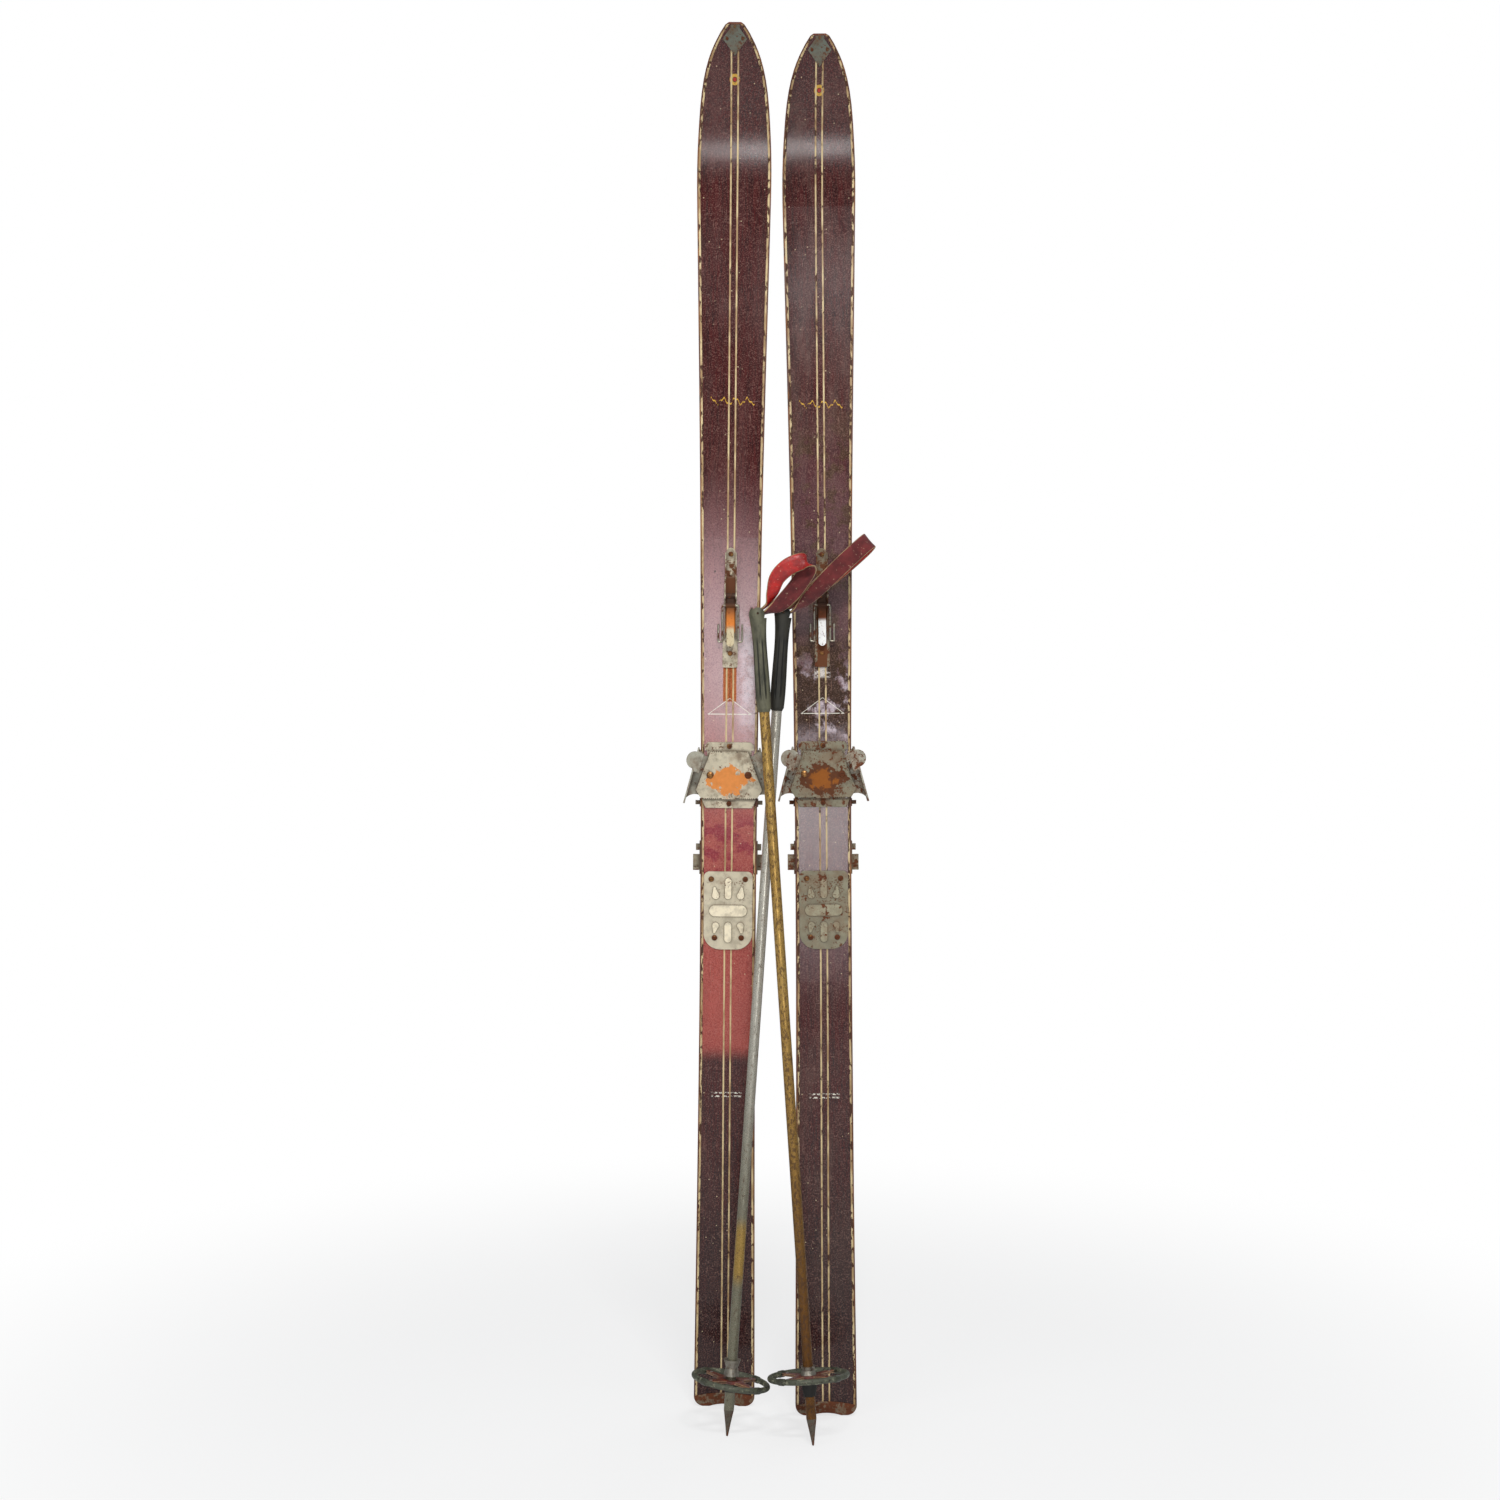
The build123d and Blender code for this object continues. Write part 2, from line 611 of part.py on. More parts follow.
def grip():
    """Moulded grip with eight flutes, a domed head and an open slot for the strap."""
    bottom = POLE_LENGTH - GRIP_LENGTH
    top = POLE_LENGTH
    waist = [(9.3, bottom + 20), (8.7, bottom + 70), (8.9, top - 38)]
    side = Spline((8.6, bottom + 4), *waist, (10.9, top - 16))
    dome = ThreePointArc((10.9, top - 16), (8.6, top - 4.2), (0, top))
    ends = Polyline((0, top), (0, bottom), (6.8, bottom), (8.6, bottom + 4))
    body = revolve(Plane.XZ * make_face(side + dome + ends), Axis.Z)
    for i in range(8):
        angle = (i + 0.5) * pi / 4
        flute = Pos(10.1 * cos(angle), 10.1 * sin(angle), bottom + 54) * Cylinder(1.5, 78)
        body -= flute
    bore = Pos(0, 0, bottom - 1) * Cylinder(
        SHAFT_RADIUS + GLUE, GRIP_LENGTH - 25, align=(Align.CENTER, Align.CENTER, Align.MIN)
    )
    slot = Pos(4, 0, top - PIN_DROP + 3.0) * Box(20, 15.6, 18)
    pin = Pos(0, 0, top - PIN_DROP) * Rot(90, 0, 0) * Cylinder(PIN_RADIUS + GLUE, 40)
    return body - bore - slot - pin


def strap_pin():
    return Pos(0, 0, POLE_LENGTH - PIN_DROP) * Rot(90, 0, 0) * Cylinder(PIN_RADIUS, 19)


def shaft():
    """Steel tube from the spike to the inside of the grip."""
    top = POLE_LENGTH - 27
    low = SPIKE_LENGTH - 14
    tube = Pos(0, 0, (top + low) / 2) * Cylinder(SHAFT_RADIUS, top - low)
    bore = Pos(0, 0, (top + low) / 2) * Cylinder(SHAFT_RADIUS - TUBE_WALL, top - low + 2)
    return tube - bore


def spike():
    """Hardened point with a plug that fits inside the tube."""
    plug = SHAFT_RADIUS - TUBE_WALL - GLUE
    shoulder = SPIKE_LENGTH - 14
    points = [(0, 0), (1.2, 0.8), (3.4, 16), (SHAFT_RADIUS, shoulder - GLUE), (plug, shoulder - GLUE)]
    points += [(plug, SPIKE_LENGTH), (0, SPIKE_LENGTH)]
    return revolve(Plane.XZ * make_face(Polyline(*points, close=True)), Axis.Z)


def ring_place(height, tilt):
    """Frame of a basket ring: its height on the pole and its tilt about x and y."""
    return Pos(0, 0, height) * Rot(tilt[0], tilt[1], 0)


def basket(height, radius, tilt):
    """Ring, leather web and rivets of a basket that turns on the shaft."""
    place = ring_place(height, tilt)
    ring = place * Torus(radius - RING_TUBE, RING_TUBE)
    gap_ring = place * Torus(radius - RING_TUBE, RING_TUBE + RUNNING_GAP)
    web_thick = 2.6
    web = Cylinder(13, web_thick)
    rivets = []
    rivet_holes = []
    for i in range(4):
        turn = Rot(0, 0, 45 + 90 * i)
        spoke_length = radius - RING_TUBE - 2
        web += turn * Pos(spoke_length / 2 + 4, 0, 0) * Box(spoke_length - 8, 9.5, web_thick)
        wrap = turn * Pos(radius - RING_TUBE, 0, 0) * Rot(90, 0, 0) * Cylinder(RING_TUBE + 2.0, 9.5)
        web += wrap
        rivet_place = place * turn * Pos(radius - 14.5, 0, 0)
        rivets.append(rivet_place * Cylinder(2.0, web_thick + 1.6))
        rivet_holes.append(rivet_place * Cylinder(2.0 + GLUE, web_thick + 2))
    shaft_hole = Pos(0, 0, height) * Cylinder(SHAFT_RADIUS + RUNNING_GAP, 40)
    return ring, place * web - gap_ring - shaft_hole - rivet_holes, rivets


def collar(low, high, flare):
    """Turned collar fixed on the shaft above the web."""
    points = [(HUB_BORE, low), (HUB_BORE + 3.4, low), (HUB_BORE + 1.2, (low + high) / 2)]
    points += [(HUB_BORE + flare, high), (HUB_BORE, high)]
    return revolve(Plane.XZ * make_face(Polyline(*points, close=True)), Axis.Z)


def stop_cone(high, low):
    """Rubber cone under the web."""
    points = [(HUB_BORE, high), (HUB_BORE + 4.2, high), (HUB_BORE + 1.2, low), (HUB_BORE, low)]
    return revolve(Plane.XZ * make_face(Polyline(*points, close=True)), Axis.Z)


def pole_frame(tip, top):
    """Location of a pole whose tip stands at `tip` and whose axis passes over `top` at the grip's end."""
    rise = (POLE_LENGTH**2 - (top[0] - tip[0]) ** 2 - (top[1] - tip[1]) ** 2) ** 0.5
    axis = Vector(top[0] - tip[0], top[1] - tip[1], rise).normalized()
    across = (Vector(1, 0, 0) - axis * axis.X).normalized()
    return Plane(origin=tip, x_dir=across, z_dir=axis).location


def strap(points):
    """Leather loop on a pin along y at the origin. Each point is a place, the band's twist and its width."""
    centres = [Vector(*point[:3]) for point in points]
    upright = Vector(0, 1, 0).cross(centres[len(centres) // 2]).normalized()
    last = len(centres) - 1
    sections = []
    for i, centre in enumerate(centres):
        along = (centres[min(i + 1, last)] - centres[max(i - 1, 0)]).normalized()
        twist = radians(points[i][3])
        across = Vector(0, 1, 0) * cos(twist) + upright * sin(twist)
        across = (across - along * across.dot(along)).normalized()
        place = Plane(origin=centre, x_dir=across, z_dir=along)
        sections.append(place * Rectangle(points[i][4], STRAP_THICK))
    pieces = [loft(pair, ruled=True) for pair in zip(sections, sections[1:])]
    hole = Rot(90, 0, 0) * Cylinder(PIN_RADIUS + RUNNING_GAP, 40)
    return pieces[0].fuse(*pieces[1:]) - hole


FRONT_STRAP = [  # x, y, z from the pin, twist in degrees, width
    (-2, 0, -1.6, 0, 10),
    (10, -1, 1.4, 18, 12),
    (27, -6.5, 8.5, 70, 19),
    (46, -6, 25, 90, 22),
    (60, -8, 42, 90, 22),
    (67, -10, 51, 90, 18),
    (68, -16, 58, 90, 10),
    (59, -20, 61, 90, 14),
    (41, -19, 54, 90, 22),
    (27, -17, 42, 84, 20),
    (20, -12, 25, 60, 16),
    (13, -3, 11, 16, 11),
    (-2, 0, 1.6, 0, 10),
]
REAR_STRAP = [
    (-2, 0, -1.6, 0, 10),
    (12, -1, 3, 10, 12),
    (30, -5, 21, 60, 19),
    (62, -8, 57, 88, 22),
    (91, -8, 88, 90, 22),
    (101, -1, 97, 90, 22),
    (93, 6, 86, 90, 22),
    (64, 7, 57, 88, 22),
    (31, 5, 27, 58, 19),
    (11, 2, 9, 10, 12),
    (-2, 0, 1.6, 0, 10),
]


# ---------------------------------------------------------------- the set


def left_frame():
    return Pos(*centred((LEFT_SKI_X, 0, LEFT_LIFT))) * Rot(0, LEFT_SPLAY, 0)


def right_frame():
    place = Pos(*centred((RIGHT_SKI_X, RIGHT_SKI_Y, RIGHT_LIFT)))
    return place * Rot(-RIGHT_LEAN, 0, 0) * Rot(0, RIGHT_SPLAY, 0)


def centred(point):
    return (point[0] - SET_CENTRE[0], point[1] - SET_CENTRE[1], *point[2:])


def pole_pieces(name, frame, strap_points, basket_shape, collar_shape, cone_span):
    """Every piece of one pole, placed in the set."""
    ring, web, rivets = basket(*basket_shape)
    hub = solids_of(collar(*collar_shape), stop_cone(*cone_span))
    placed = {
        "shaft": frame * shaft(),
        "grip": frame * grip(),
        "strap_pin": frame * strap_pin(),
        "spike": frame * spike(),
        "basket_ring": frame * ring,
        "basket_web": frame * web,
        "basket_rivets": frame * solids_of(*rivets),
        "basket_hub": frame * hub,
        "strap": frame * Pos(0, 0, POLE_LENGTH - PIN_DROP) * strap(strap_points),
    }
    return {f"{name}_{piece}": shape for piece, shape in placed.items()}


def build_set():
    """Every node of the set by name."""
    ski = ski_pieces()
    nodes = {f"left_{name}": left_frame() * shape for name, shape in ski.items()}
    nodes |= {f"right_{name}": right_frame() * shape for name, shape in ski.items()}
    front = pole_frame(centred(FRONT_POLE_TIP), centred(FRONT_POLE_TOP))
    rear = pole_frame(centred(REAR_POLE_TIP), centred(REAR_POLE_TOP))
    nodes |= pole_pieces("front_pole", front, FRONT_STRAP, FRONT_BASKET, FRONT_COLLAR, FRONT_CONE)
    nodes |= pole_pieces("rear_pole", rear, REAR_STRAP, REAR_BASKET, REAR_COLLAR, REAR_CONE)
    return nodes


def main():
    os.makedirs("parts", exist_ok=True)
    for name, shape in build_set().items():
        export_step(shape, f"parts/{name}.step")


if __name__ == "__main__":
    main()
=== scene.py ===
"""Looks of a pair of vintage laminated skis and their two poles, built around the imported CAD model."""

import json
from math import cos, pi, radians, sin

import bmesh
import bpy
from mathutils import Euler, Matrix, Vector


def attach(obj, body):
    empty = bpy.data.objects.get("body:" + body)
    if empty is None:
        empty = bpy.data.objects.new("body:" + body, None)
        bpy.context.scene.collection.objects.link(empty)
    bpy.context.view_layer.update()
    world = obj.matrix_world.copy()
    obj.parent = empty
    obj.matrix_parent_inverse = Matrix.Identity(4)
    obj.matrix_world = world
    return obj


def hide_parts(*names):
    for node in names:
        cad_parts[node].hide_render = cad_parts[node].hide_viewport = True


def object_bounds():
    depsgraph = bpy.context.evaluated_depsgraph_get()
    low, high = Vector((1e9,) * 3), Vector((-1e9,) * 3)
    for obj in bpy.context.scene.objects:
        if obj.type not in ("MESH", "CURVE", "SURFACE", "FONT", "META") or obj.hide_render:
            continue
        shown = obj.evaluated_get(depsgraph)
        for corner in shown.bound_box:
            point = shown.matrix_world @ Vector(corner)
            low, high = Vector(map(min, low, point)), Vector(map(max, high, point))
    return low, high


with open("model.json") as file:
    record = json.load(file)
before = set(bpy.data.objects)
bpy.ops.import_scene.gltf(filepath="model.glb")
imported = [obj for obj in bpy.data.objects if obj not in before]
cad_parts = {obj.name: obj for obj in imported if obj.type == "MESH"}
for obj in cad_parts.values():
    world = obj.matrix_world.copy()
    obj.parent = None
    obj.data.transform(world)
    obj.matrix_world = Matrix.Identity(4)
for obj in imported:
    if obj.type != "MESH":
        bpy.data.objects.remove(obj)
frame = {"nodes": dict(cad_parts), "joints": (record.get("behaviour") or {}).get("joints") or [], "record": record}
cad_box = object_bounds()

MM = 0.001
SIDES = ("left", "right")
POLES = ("front_pole", "rear_pole")
JOINTS = {joint["name"]: joint for joint in frame["joints"]}
MOUNTS = {mount["name"]: mount for mount in frame["record"]["mounts"]}

# Driving places on a ski, in millimetres above its tail
HEEL_TREAD = Vector((0, -36.5, 651.5))  # centre of the heel rest on the raised oval
TOE_CENTRE = 818
ROSETTE = 1690
FLOURISH = 1296.0
DOUBLE_BAR = (411.0, 415.5)
TRIANGLE = (902.0, 922.0)  # its base and its peak
BARE_PLANK = (918, 966)  # strip of bare wood just below the left throw
THROW_CHANNEL = {"left": (1006, 1076), "right": (955, 1076)}  # rusted length of the channel

# Driving sizes of a pole, in millimetres
PIN_HEIGHT = 1035  # strap pin above the spike's point
BASKETS = {  # height on the pole, radius, tilt about x and y
    "front_pole": (86.0, 51.4, (-5.5, 0)),
    "rear_pole": (70.0, 50.0, (-3, 6)),
}
RING_TUBE = 3.6
SHAFT_RADIUS = 6.4
STRAP_THICK = 2.3
WEB_THICK = 1.5
WRAP_THICK = 0.7  # web leather where it is pulled round the ring
WRAP_WIDTH = 8.4


# ---------------------------------------------------------------- places


def frame_of(origin, x_axis, y_axis):
    """Matrix of a local frame whose units are metres."""
    z_axis = x_axis.cross(y_axis)
    turned = Matrix((x_axis, y_axis, z_axis)).transposed().to_4x4()
    return Matrix.Translation(origin) @ turned


def ski_place(side):
    """Frame of a ski: x across, y into the ski, z up from the tail."""
    x_axis = Vector(JOINTS[f"{side}_wing_left_adjust"]["axis"]).normalized()
    y_axis = -Vector(MOUNTS[f"{side}_heel_rest"]["axis"]).normalized()
    y_axis = (y_axis - x_axis * y_axis.dot(x_axis)).normalized()
    turned = frame_of(Vector(), x_axis, y_axis)
    origin = Vector(MOUNTS[f"{side}_heel_rest"]["pos_m"]) - turned @ (HEEL_TREAD * MM)
    return frame_of(origin, x_axis, y_axis)


def pole_place(pole):
    """Frame of a pole: z up its axis from the spike's point."""
    z_axis = Vector(JOINTS[f"{pole}_basket_spin"]["axis"]).normalized()
    y_axis = -Vector(JOINTS[f"{pole}_strap_swing"]["axis"]).normalized()
    y_axis = (y_axis - z_axis * y_axis.dot(z_axis)).normalized()
    pin = Vector(JOINTS[f"{pole}_strap_swing"]["pos_m"])
    return frame_of(pin - z_axis * PIN_HEIGHT * MM, y_axis.cross(z_axis), y_axis)


PLACES = {side: ski_place(side) for side in SIDES} | {pole: pole_place(pole) for pole in POLES}


# ---------------------------------------------------------------- material building


def tone(red, green, blue):
    """Linear colour from display values of 0 to 255."""
    return tuple((value / 255) ** 2.2 for value in (red, green, blue))


CREAM = tone(226, 205, 160)
OLD_CREAM = tone(196, 170, 118)
DARK_WOOD = tone(74, 44, 26)
RUST = tone(120, 62, 26)
DARK_RUST = tone(62, 36, 20)
ORANGE_RUST = tone(222, 128, 52)
STEEL = tone(150, 148, 142)
SILVER = tone(214, 214, 210)

MIX_SHARE, MIX_FIRST, MIX_SECOND, MIX_RESULT = 0, 6, 7, 2  # colour sockets of a Mix node


class Look:
    """A node material. Its coordinates are millimetres in the given frame."""

    def __init__(self, name, place):
        self.material = bpy.data.materials.new(name)
        self.material.use_nodes = True
        self.tree = self.material.node_tree
        self.shader = self.tree.nodes["Principled BSDF"]
        mapping = self.node("ShaderNodeMapping", "vector_type", "TEXTURE")
        self.join(mapping.inputs["Vector"], self.node("ShaderNodeTexCoord").outputs["Object"])
        mapping.inputs["Location"].default_value = place.translation
        mapping.inputs["Rotation"].default_value = place.to_euler("XYZ")
        mapping.inputs["Scale"].default_value = (MM, MM, MM)
        self.at = mapping.outputs["Vector"]
        split = self.node("ShaderNodeSeparateXYZ")
        self.join(split.inputs[0], self.at)
        self.x, self.y, self.z = split.outputs
        self.normal = None

    def node(self, kind, option=None, choice=None):
        made = self.tree.nodes.new(kind)
        if option:
            setattr(made, option, choice)
        return made

    def join(self, socket, value):
        if isinstance(value, bpy.types.NodeSocket):
            self.tree.links.new(value, socket)
        elif socket.type == "RGBA" and len(value) == 3:
            socket.default_value = (*value, 1)
        else:
            socket.default_value = value

    def math(self, operation, first, second=0.0):
        made = self.node("ShaderNodeMath", "operation", operation)
        self.join(made.inputs[0], first)
        self.join(made.inputs[1], second)
        return made.outputs[0]

    def times(self, *values):
        result = values[0]
        for value in values[1:]:
            result = self.math("MULTIPLY", result, value)
        return result

    def ramp(self, value, low, high):
        """0 below `low` to 1 above `high`, smoothly; falls instead when low is the larger."""
        made = self.node("ShaderNodeMapRange", "interpolation_type", "SMOOTHSTEP")
        self.join(made.inputs["Value"], value)
        self.join(made.inputs["From Min"], low)
        self.join(made.inputs["From Max"], high)
        return made.outputs["Result"]

    def window(self, value, low, high, soft):
        return self.times(
            self.ramp(value, low - soft, low + soft), self.ramp(value, high + soft, high - soft)
        )

    def noise(self, size, stretch=(1, 1, 1), detail=5.0, shift=0.0):
        """Noise with lumps about `size` millimetres, drawn out along the axes by `stretch`."""
        mapping = self.node("ShaderNodeMapping")
        self.join(mapping.inputs["Vector"], self.at)
        mapping.inputs["Scale"].default_value = [1 / (size * share) for share in stretch]
        mapping.inputs["Location"].default_value = (shift, shift * 0.7, shift * 1.3)
        made = self.node("ShaderNodeTexNoise")
        self.join(made.inputs["Vector"], mapping.outputs["Vector"])
        made.inputs["Scale"].default_value = 1.0
        made.inputs["Detail"].default_value = detail
        made.inputs["Roughness"].default_value = 0.62
        return made.outputs["Fac"]

    def spots(self, size, level, soft=0.04, stretch=(1, 1, 1), shift=0.0):
        """Patches where the noise is above `level`."""
        return self.ramp(self.noise(size, stretch, shift=shift), level - soft, level + soft)

    def specks(self, size, radius):
        """Small round dots, one in each cell of `size` millimetres."""
        made = self.node("ShaderNodeTexVoronoi")
        self.join(made.inputs["Vector"], self.at)
        made.inputs["Scale"].default_value = 1 / size
        return self.ramp(made.outputs["Distance"], radius / size, 0.5 * radius / size)

    def mix(self, share, first, second):
        made = self.node("ShaderNodeMix", "data_type", "RGBA")
        self.join(made.inputs[MIX_SHARE], share)
        self.join(made.inputs[MIX_FIRST], first)
        self.join(made.inputs[MIX_SECOND], second)
        return made.outputs[MIX_RESULT]

    def blend(self, share, first, second):
        """Mixes two plain numbers."""
        return self.math("ADD", self.times(share, second - first), first)

    def bump(self, height, depth):
        """Raises the surface by up to `depth` millimetres where height is 1."""
        made = self.node("ShaderNodeBump")
        made.inputs["Distance"].default_value = depth * MM
        self.join(made.inputs["Height"], height)
        if self.normal:
            self.join(made.inputs["Normal"], self.normal)
        self.normal = made.outputs["Normal"]

    def worn_edges(self, radius):
        """1 along sharp edges; also rounds those edges in the shading."""
        bevel = self.node("ShaderNodeBevel")
        bevel.samples = 4
        bevel.inputs["Radius"].default_value = radius * MM
        flat = self.node("ShaderNodeNewGeometry").outputs["Normal"]
        dot = self.node("ShaderNodeVectorMath", "operation", "DOT_PRODUCT")
        self.join(dot.inputs[0], bevel.outputs["Normal"])
        self.join(dot.inputs[1], flat)
        self.normal = bevel.outputs["Normal"]
        return self.ramp(dot.outputs["Value"], 0.99, 0.8)

    def radius(self, x0=0.0, z0=0.0, flat=True):
        """Distance from a point of the ski's face, or from a pole's axis when not flat."""
        first = self.math("SUBTRACT", self.x, x0)
        second = self.math("SUBTRACT", self.z, z0) if flat else self.y
        total = self.math("ADD", self.times(first, first), self.times(second, second))
        return self.math("SQRT", total)

    def finish(self, colour, rough, metal=0.0, coat=0.0, sheen=0.0):
        for name, value in (
            ("Base Color", colour),
            ("Roughness", rough),
            ("Metallic", metal),
            ("Coat Weight", coat),
            ("Sheen Weight", sheen),
        ):
            self.join(self.shader.inputs[name], value)
        self.shader.inputs["Coat Roughness"].default_value = 0.16
        if self.normal:
            self.join(self.shader.inputs["Normal"], self.normal)
        return self.material


# ---------------------------------------------------------------- ski looks


def stroke(look, distance, half_width):
    """1 where a distance is under half the width of a painted line."""
    size = look.math("ABSOLUTE", distance)
    return look.ramp(size, half_width * 1.3, half_width * 0.7)


def ornaments(look, colour, worn):
    """Generic gold rosette and flourish, a worn white double bar and a thin white triangle."""
    gold = tone(206, 160, 62)
    white = tone(225, 220, 205)
    centre = look.radius(0, ROSETTE)
    ring = look.window(centre, 3.0, 6.2, 0.4)
    colour = look.mix(look.times(ring, look.spots(3, 0.4)), colour, gold)
    colour = look.mix(look.ramp(centre, 2.4, 1.8), colour, tone(170, 40, 30))
    wave = look.times(look.math("SINE", look.times(look.x, 0.42)), 3.4)
    second = look.times(look.math("SINE", look.times(look.x, 1.1)), 1.4)
    line = look.math("SUBTRACT", look.z, look.math("ADD", look.math("ADD", wave, second), FLOURISH))
    flourish = look.times(stroke(look, line, 0.9), look.window(look.x, -27, 28, 0.5))
    colour = look.mix(look.times(flourish, look.spots(4, 0.42)), colour, gold)
    for level in DOUBLE_BAR:
        bar = stroke(look, look.math("SUBTRACT", look.z, level), 1.0)
        bar = look.times(bar, look.window(look.x, -19, 19, 0.5), look.spots(3, 0.52, shift=level))
        colour = look.mix(bar, colour, white)
    low, peak = TRIANGLE
    across = look.math("ABSOLUTE", look.x)
    slope = look.math("ADD", look.math("SUBTRACT", look.z, peak), look.times(across, 0.74))
    sides = look.times(stroke(look, slope, 0.45), look.window(look.z, low, peak, 0.4))
    base = look.times(stroke(look, look.math("SUBTRACT", look.z, low), 0.5), look.ramp(across, 28, 27))
    outline = look.math("MAXIMUM", sides, base)
    return look.mix(look.times(outline, worn), colour, white)


def left_wear(look, colour, cloud, streak):
    """Left ski: painted pool of light over the middle, red blot, painted reflection and bare wood. Also gives the
    part that isn't glossy.
    """
    # Painted light: from a sharp edge near 470 mm up to about 1100 mm the middle of the ski takes a lit colour,
    # salmon-red low and mauve high.
    middle_band = look.times(look.ramp(look.z, 455, 480), look.ramp(look.z, 1230, 1010))
    lit_colour = look.mix(look.ramp(look.z, 760, 960), tone(186, 84, 74), tone(178, 128, 132))
    colour = look.mix(look.times(middle_band, look.blend(cloud, 0.45, 1.0)), colour, lit_colour)
    blot = look.times(look.window(look.z, 690, 770, 14), look.spots(22, 0.5, 0.06, (1, 1, 0.7)))
    colour = look.mix(blot, colour, tone(140, 26, 44))
    # Painted reflection: a pale, patchy glare on the right half between 880 and 1010 mm.
    right_half = look.times(look.window(look.z, 880, 1010, 34), look.ramp(look.x, 4, 20))
    painted_reflection = look.times(right_half, look.spots(18, 0.47, 0.12))
    colour = look.mix(look.times(painted_reflection, 0.55), colour, tone(226, 210, 222))
    bare = look.times(look.window(look.x, -8.6, 8.2, 0.5), look.window(look.z, *BARE_PLANK, 0.8))
    plank = look.mix(streak, tone(158, 76, 34), tone(198, 112, 62))
    colour = look.mix(bare, colour, plank)
    colour = look.mix(look.times(bare, stroke(look, look.x, 0.5)), colour, tone(112, 58, 26))
    return colour, bare


def right_wear(look, colour, cloud, streak):
    """Right ski: haze, painted highlight, brown stain and chips. Also gives the part that isn't glossy."""
    middle_band = look.times(look.ramp(look.z, 520, 640), look.ramp(look.z, 1320, 1120))
    colour = look.mix(look.times(middle_band, look.blend(cloud, 0.2, 0.8)), colour, tone(108, 74, 80))
    # Painted highlight: a pale lavender patch between 868 and 960 mm.
    painted_highlight = look.times(look.window(look.z, 868, 960, 14), look.spots(15, 0.47, 0.08, shift=2.0))
    colour = look.mix(look.times(painted_highlight, 0.75), colour, tone(196, 180, 190))
    stain = look.times(look.window(look.z, 872, 996, 22), look.spots(24, 0.45, 0.04, (1, 1, 1.3)))
    brown = look.mix(streak, tone(30, 18, 10), tone(72, 48, 28))
    colour = look.mix(look.times(stain, 0.97), colour, brown)
    drift = look.times(look.window(look.z, 950, 1280, 60), look.spots(20, 0.55, 0.07, shift=4.0))
    colour = look.mix(look.times(drift, 0.75), colour, tone(74, 54, 34))
    chipped = look.times(look.window(look.x, -10, 10, 1), look.window(look.z, 948, 962, 2))
    colour = look.mix(look.times(chipped, look.spots(6, 0.47)), colour, tone(214, 205, 198))
    return colour, stain


def scuffs(look, colour):
    """Scratches, mottling, specks, and grime along the rims. Also gives the scratches alone."""
    scratch = look.spots(1.1, 0.68, 0.03, (1, 1, 40), shift=2.0)
    across = look.spots(1.6, 0.71, 0.03, (14, 1, 1), shift=5.0)
    marks = look.math("MAXIMUM", scratch, across)
    colour = look.mix(look.times(marks, 0.55), colour, tone(176, 134, 118))
    mottle = look.noise(1.5, detail=3, shift=9.0)
    colour = look.mix(look.times(look.ramp(mottle, 0.48, 0.68), 0.22), colour, tone(190, 150, 136))
    colour = look.mix(look.times(look.ramp(mottle, 0.5, 0.34), 0.4), colour, tone(30, 6, 8))
    colour = look.mix(look.times(look.specks(13, 1.0), 0.8), colour, tone(206, 184, 150))
    colour = look.mix(look.times(look.specks(29, 1.9), 0.85), colour, tone(34, 16, 14))
    rim = look.ramp(look.math("ABSOLUTE", look.x), 24, 42)
    darkening = look.times(rim, look.spots(12, 0.5, 0.1, (1, 1, 3)))
    colour = look.mix(look.times(darkening, 0.4), colour, tone(44, 24, 20))
    return colour, marks


def lacquer(side):
    """Old maroon lacquer with hazy and dirty stretches, scratches and specks, painted light, highlight and
    reflection, and painted shade towards the tails.
    """
    look = Look(f"{side}_lacquer", PLACES[side])
    left = side == "left"
    streak = look.noise(2.4, (1, 1, 26), 7)
    cloud = look.noise(55, (0.7, 1, 2.4), 7, shift=3.0 if left else 8.0)
    colour = look.mix(look.ramp(streak, 0.3, 0.7), tone(46, 8, 9), tone(76, 18, 19))
    haze = tone(96, 58, 54) if left else tone(98, 70, 62)
    colour = look.mix(look.times(look.ramp(cloud, 0.44, 0.7), 0.35 if left else 0.6), colour, haze)
    wear = left_wear if left else right_wear
    colour, matt = wear(look, colour, cloud, streak)
    # Painted shade: darker towards the tail, below about 470 mm.
    tail_shade = look.times(look.ramp(look.z, 470, 120), look.blend(cloud, 0.4, 0.9))
    colour = look.mix(tail_shade, colour, tone(22, 3, 4))
    colour, marks = scuffs(look, colour)
    colour = ornaments(look, colour, look.spots(5, 0.44))
    rough = look.math("ADD", look.times(cloud, 0.3), look.times(marks, 0.2))
    rough = look.math("ADD", rough, look.times(matt, 0.5))
    look.bump(look.math("SUBTRACT", streak, look.times(marks, 0.6)), 0.10)
    look.bump(look.noise(0.9, detail=3), 0.05)
    look.shader.inputs["Specular IOR Level"].default_value = 0.3
    return look.finish(colour, look.math("ADD", rough, 0.1), coat=look.blend(matt, 0.35, 0.0))


def cream_plastic(side, name, dirt):
    """Yellowed cream strip with dark chips; `dirt` is lower for more of them."""
    look = Look(f"{side}_{name}", PLACES[side])
    colour = look.mix(look.noise(30, (1, 1, 3)), CREAM, OLD_CREAM)
    colour = look.mix(look.times(look.spots(14, 0.5, 0.1, (1, 1, 3)), 0.75), colour, tone(140, 100, 58))
    chips = look.spots(5, dirt, 0.02, (1, 1, 2.6), shift=6.0)
    colour = look.mix(chips, colour, DARK_WOOD)
    look.bump(look.math("SUBTRACT", 1.0, chips), 0.35)
    look.bump(look.noise(1.2), 0.05)
    return look.finish(colour, look.blend(chips, 0.42, 0.75))


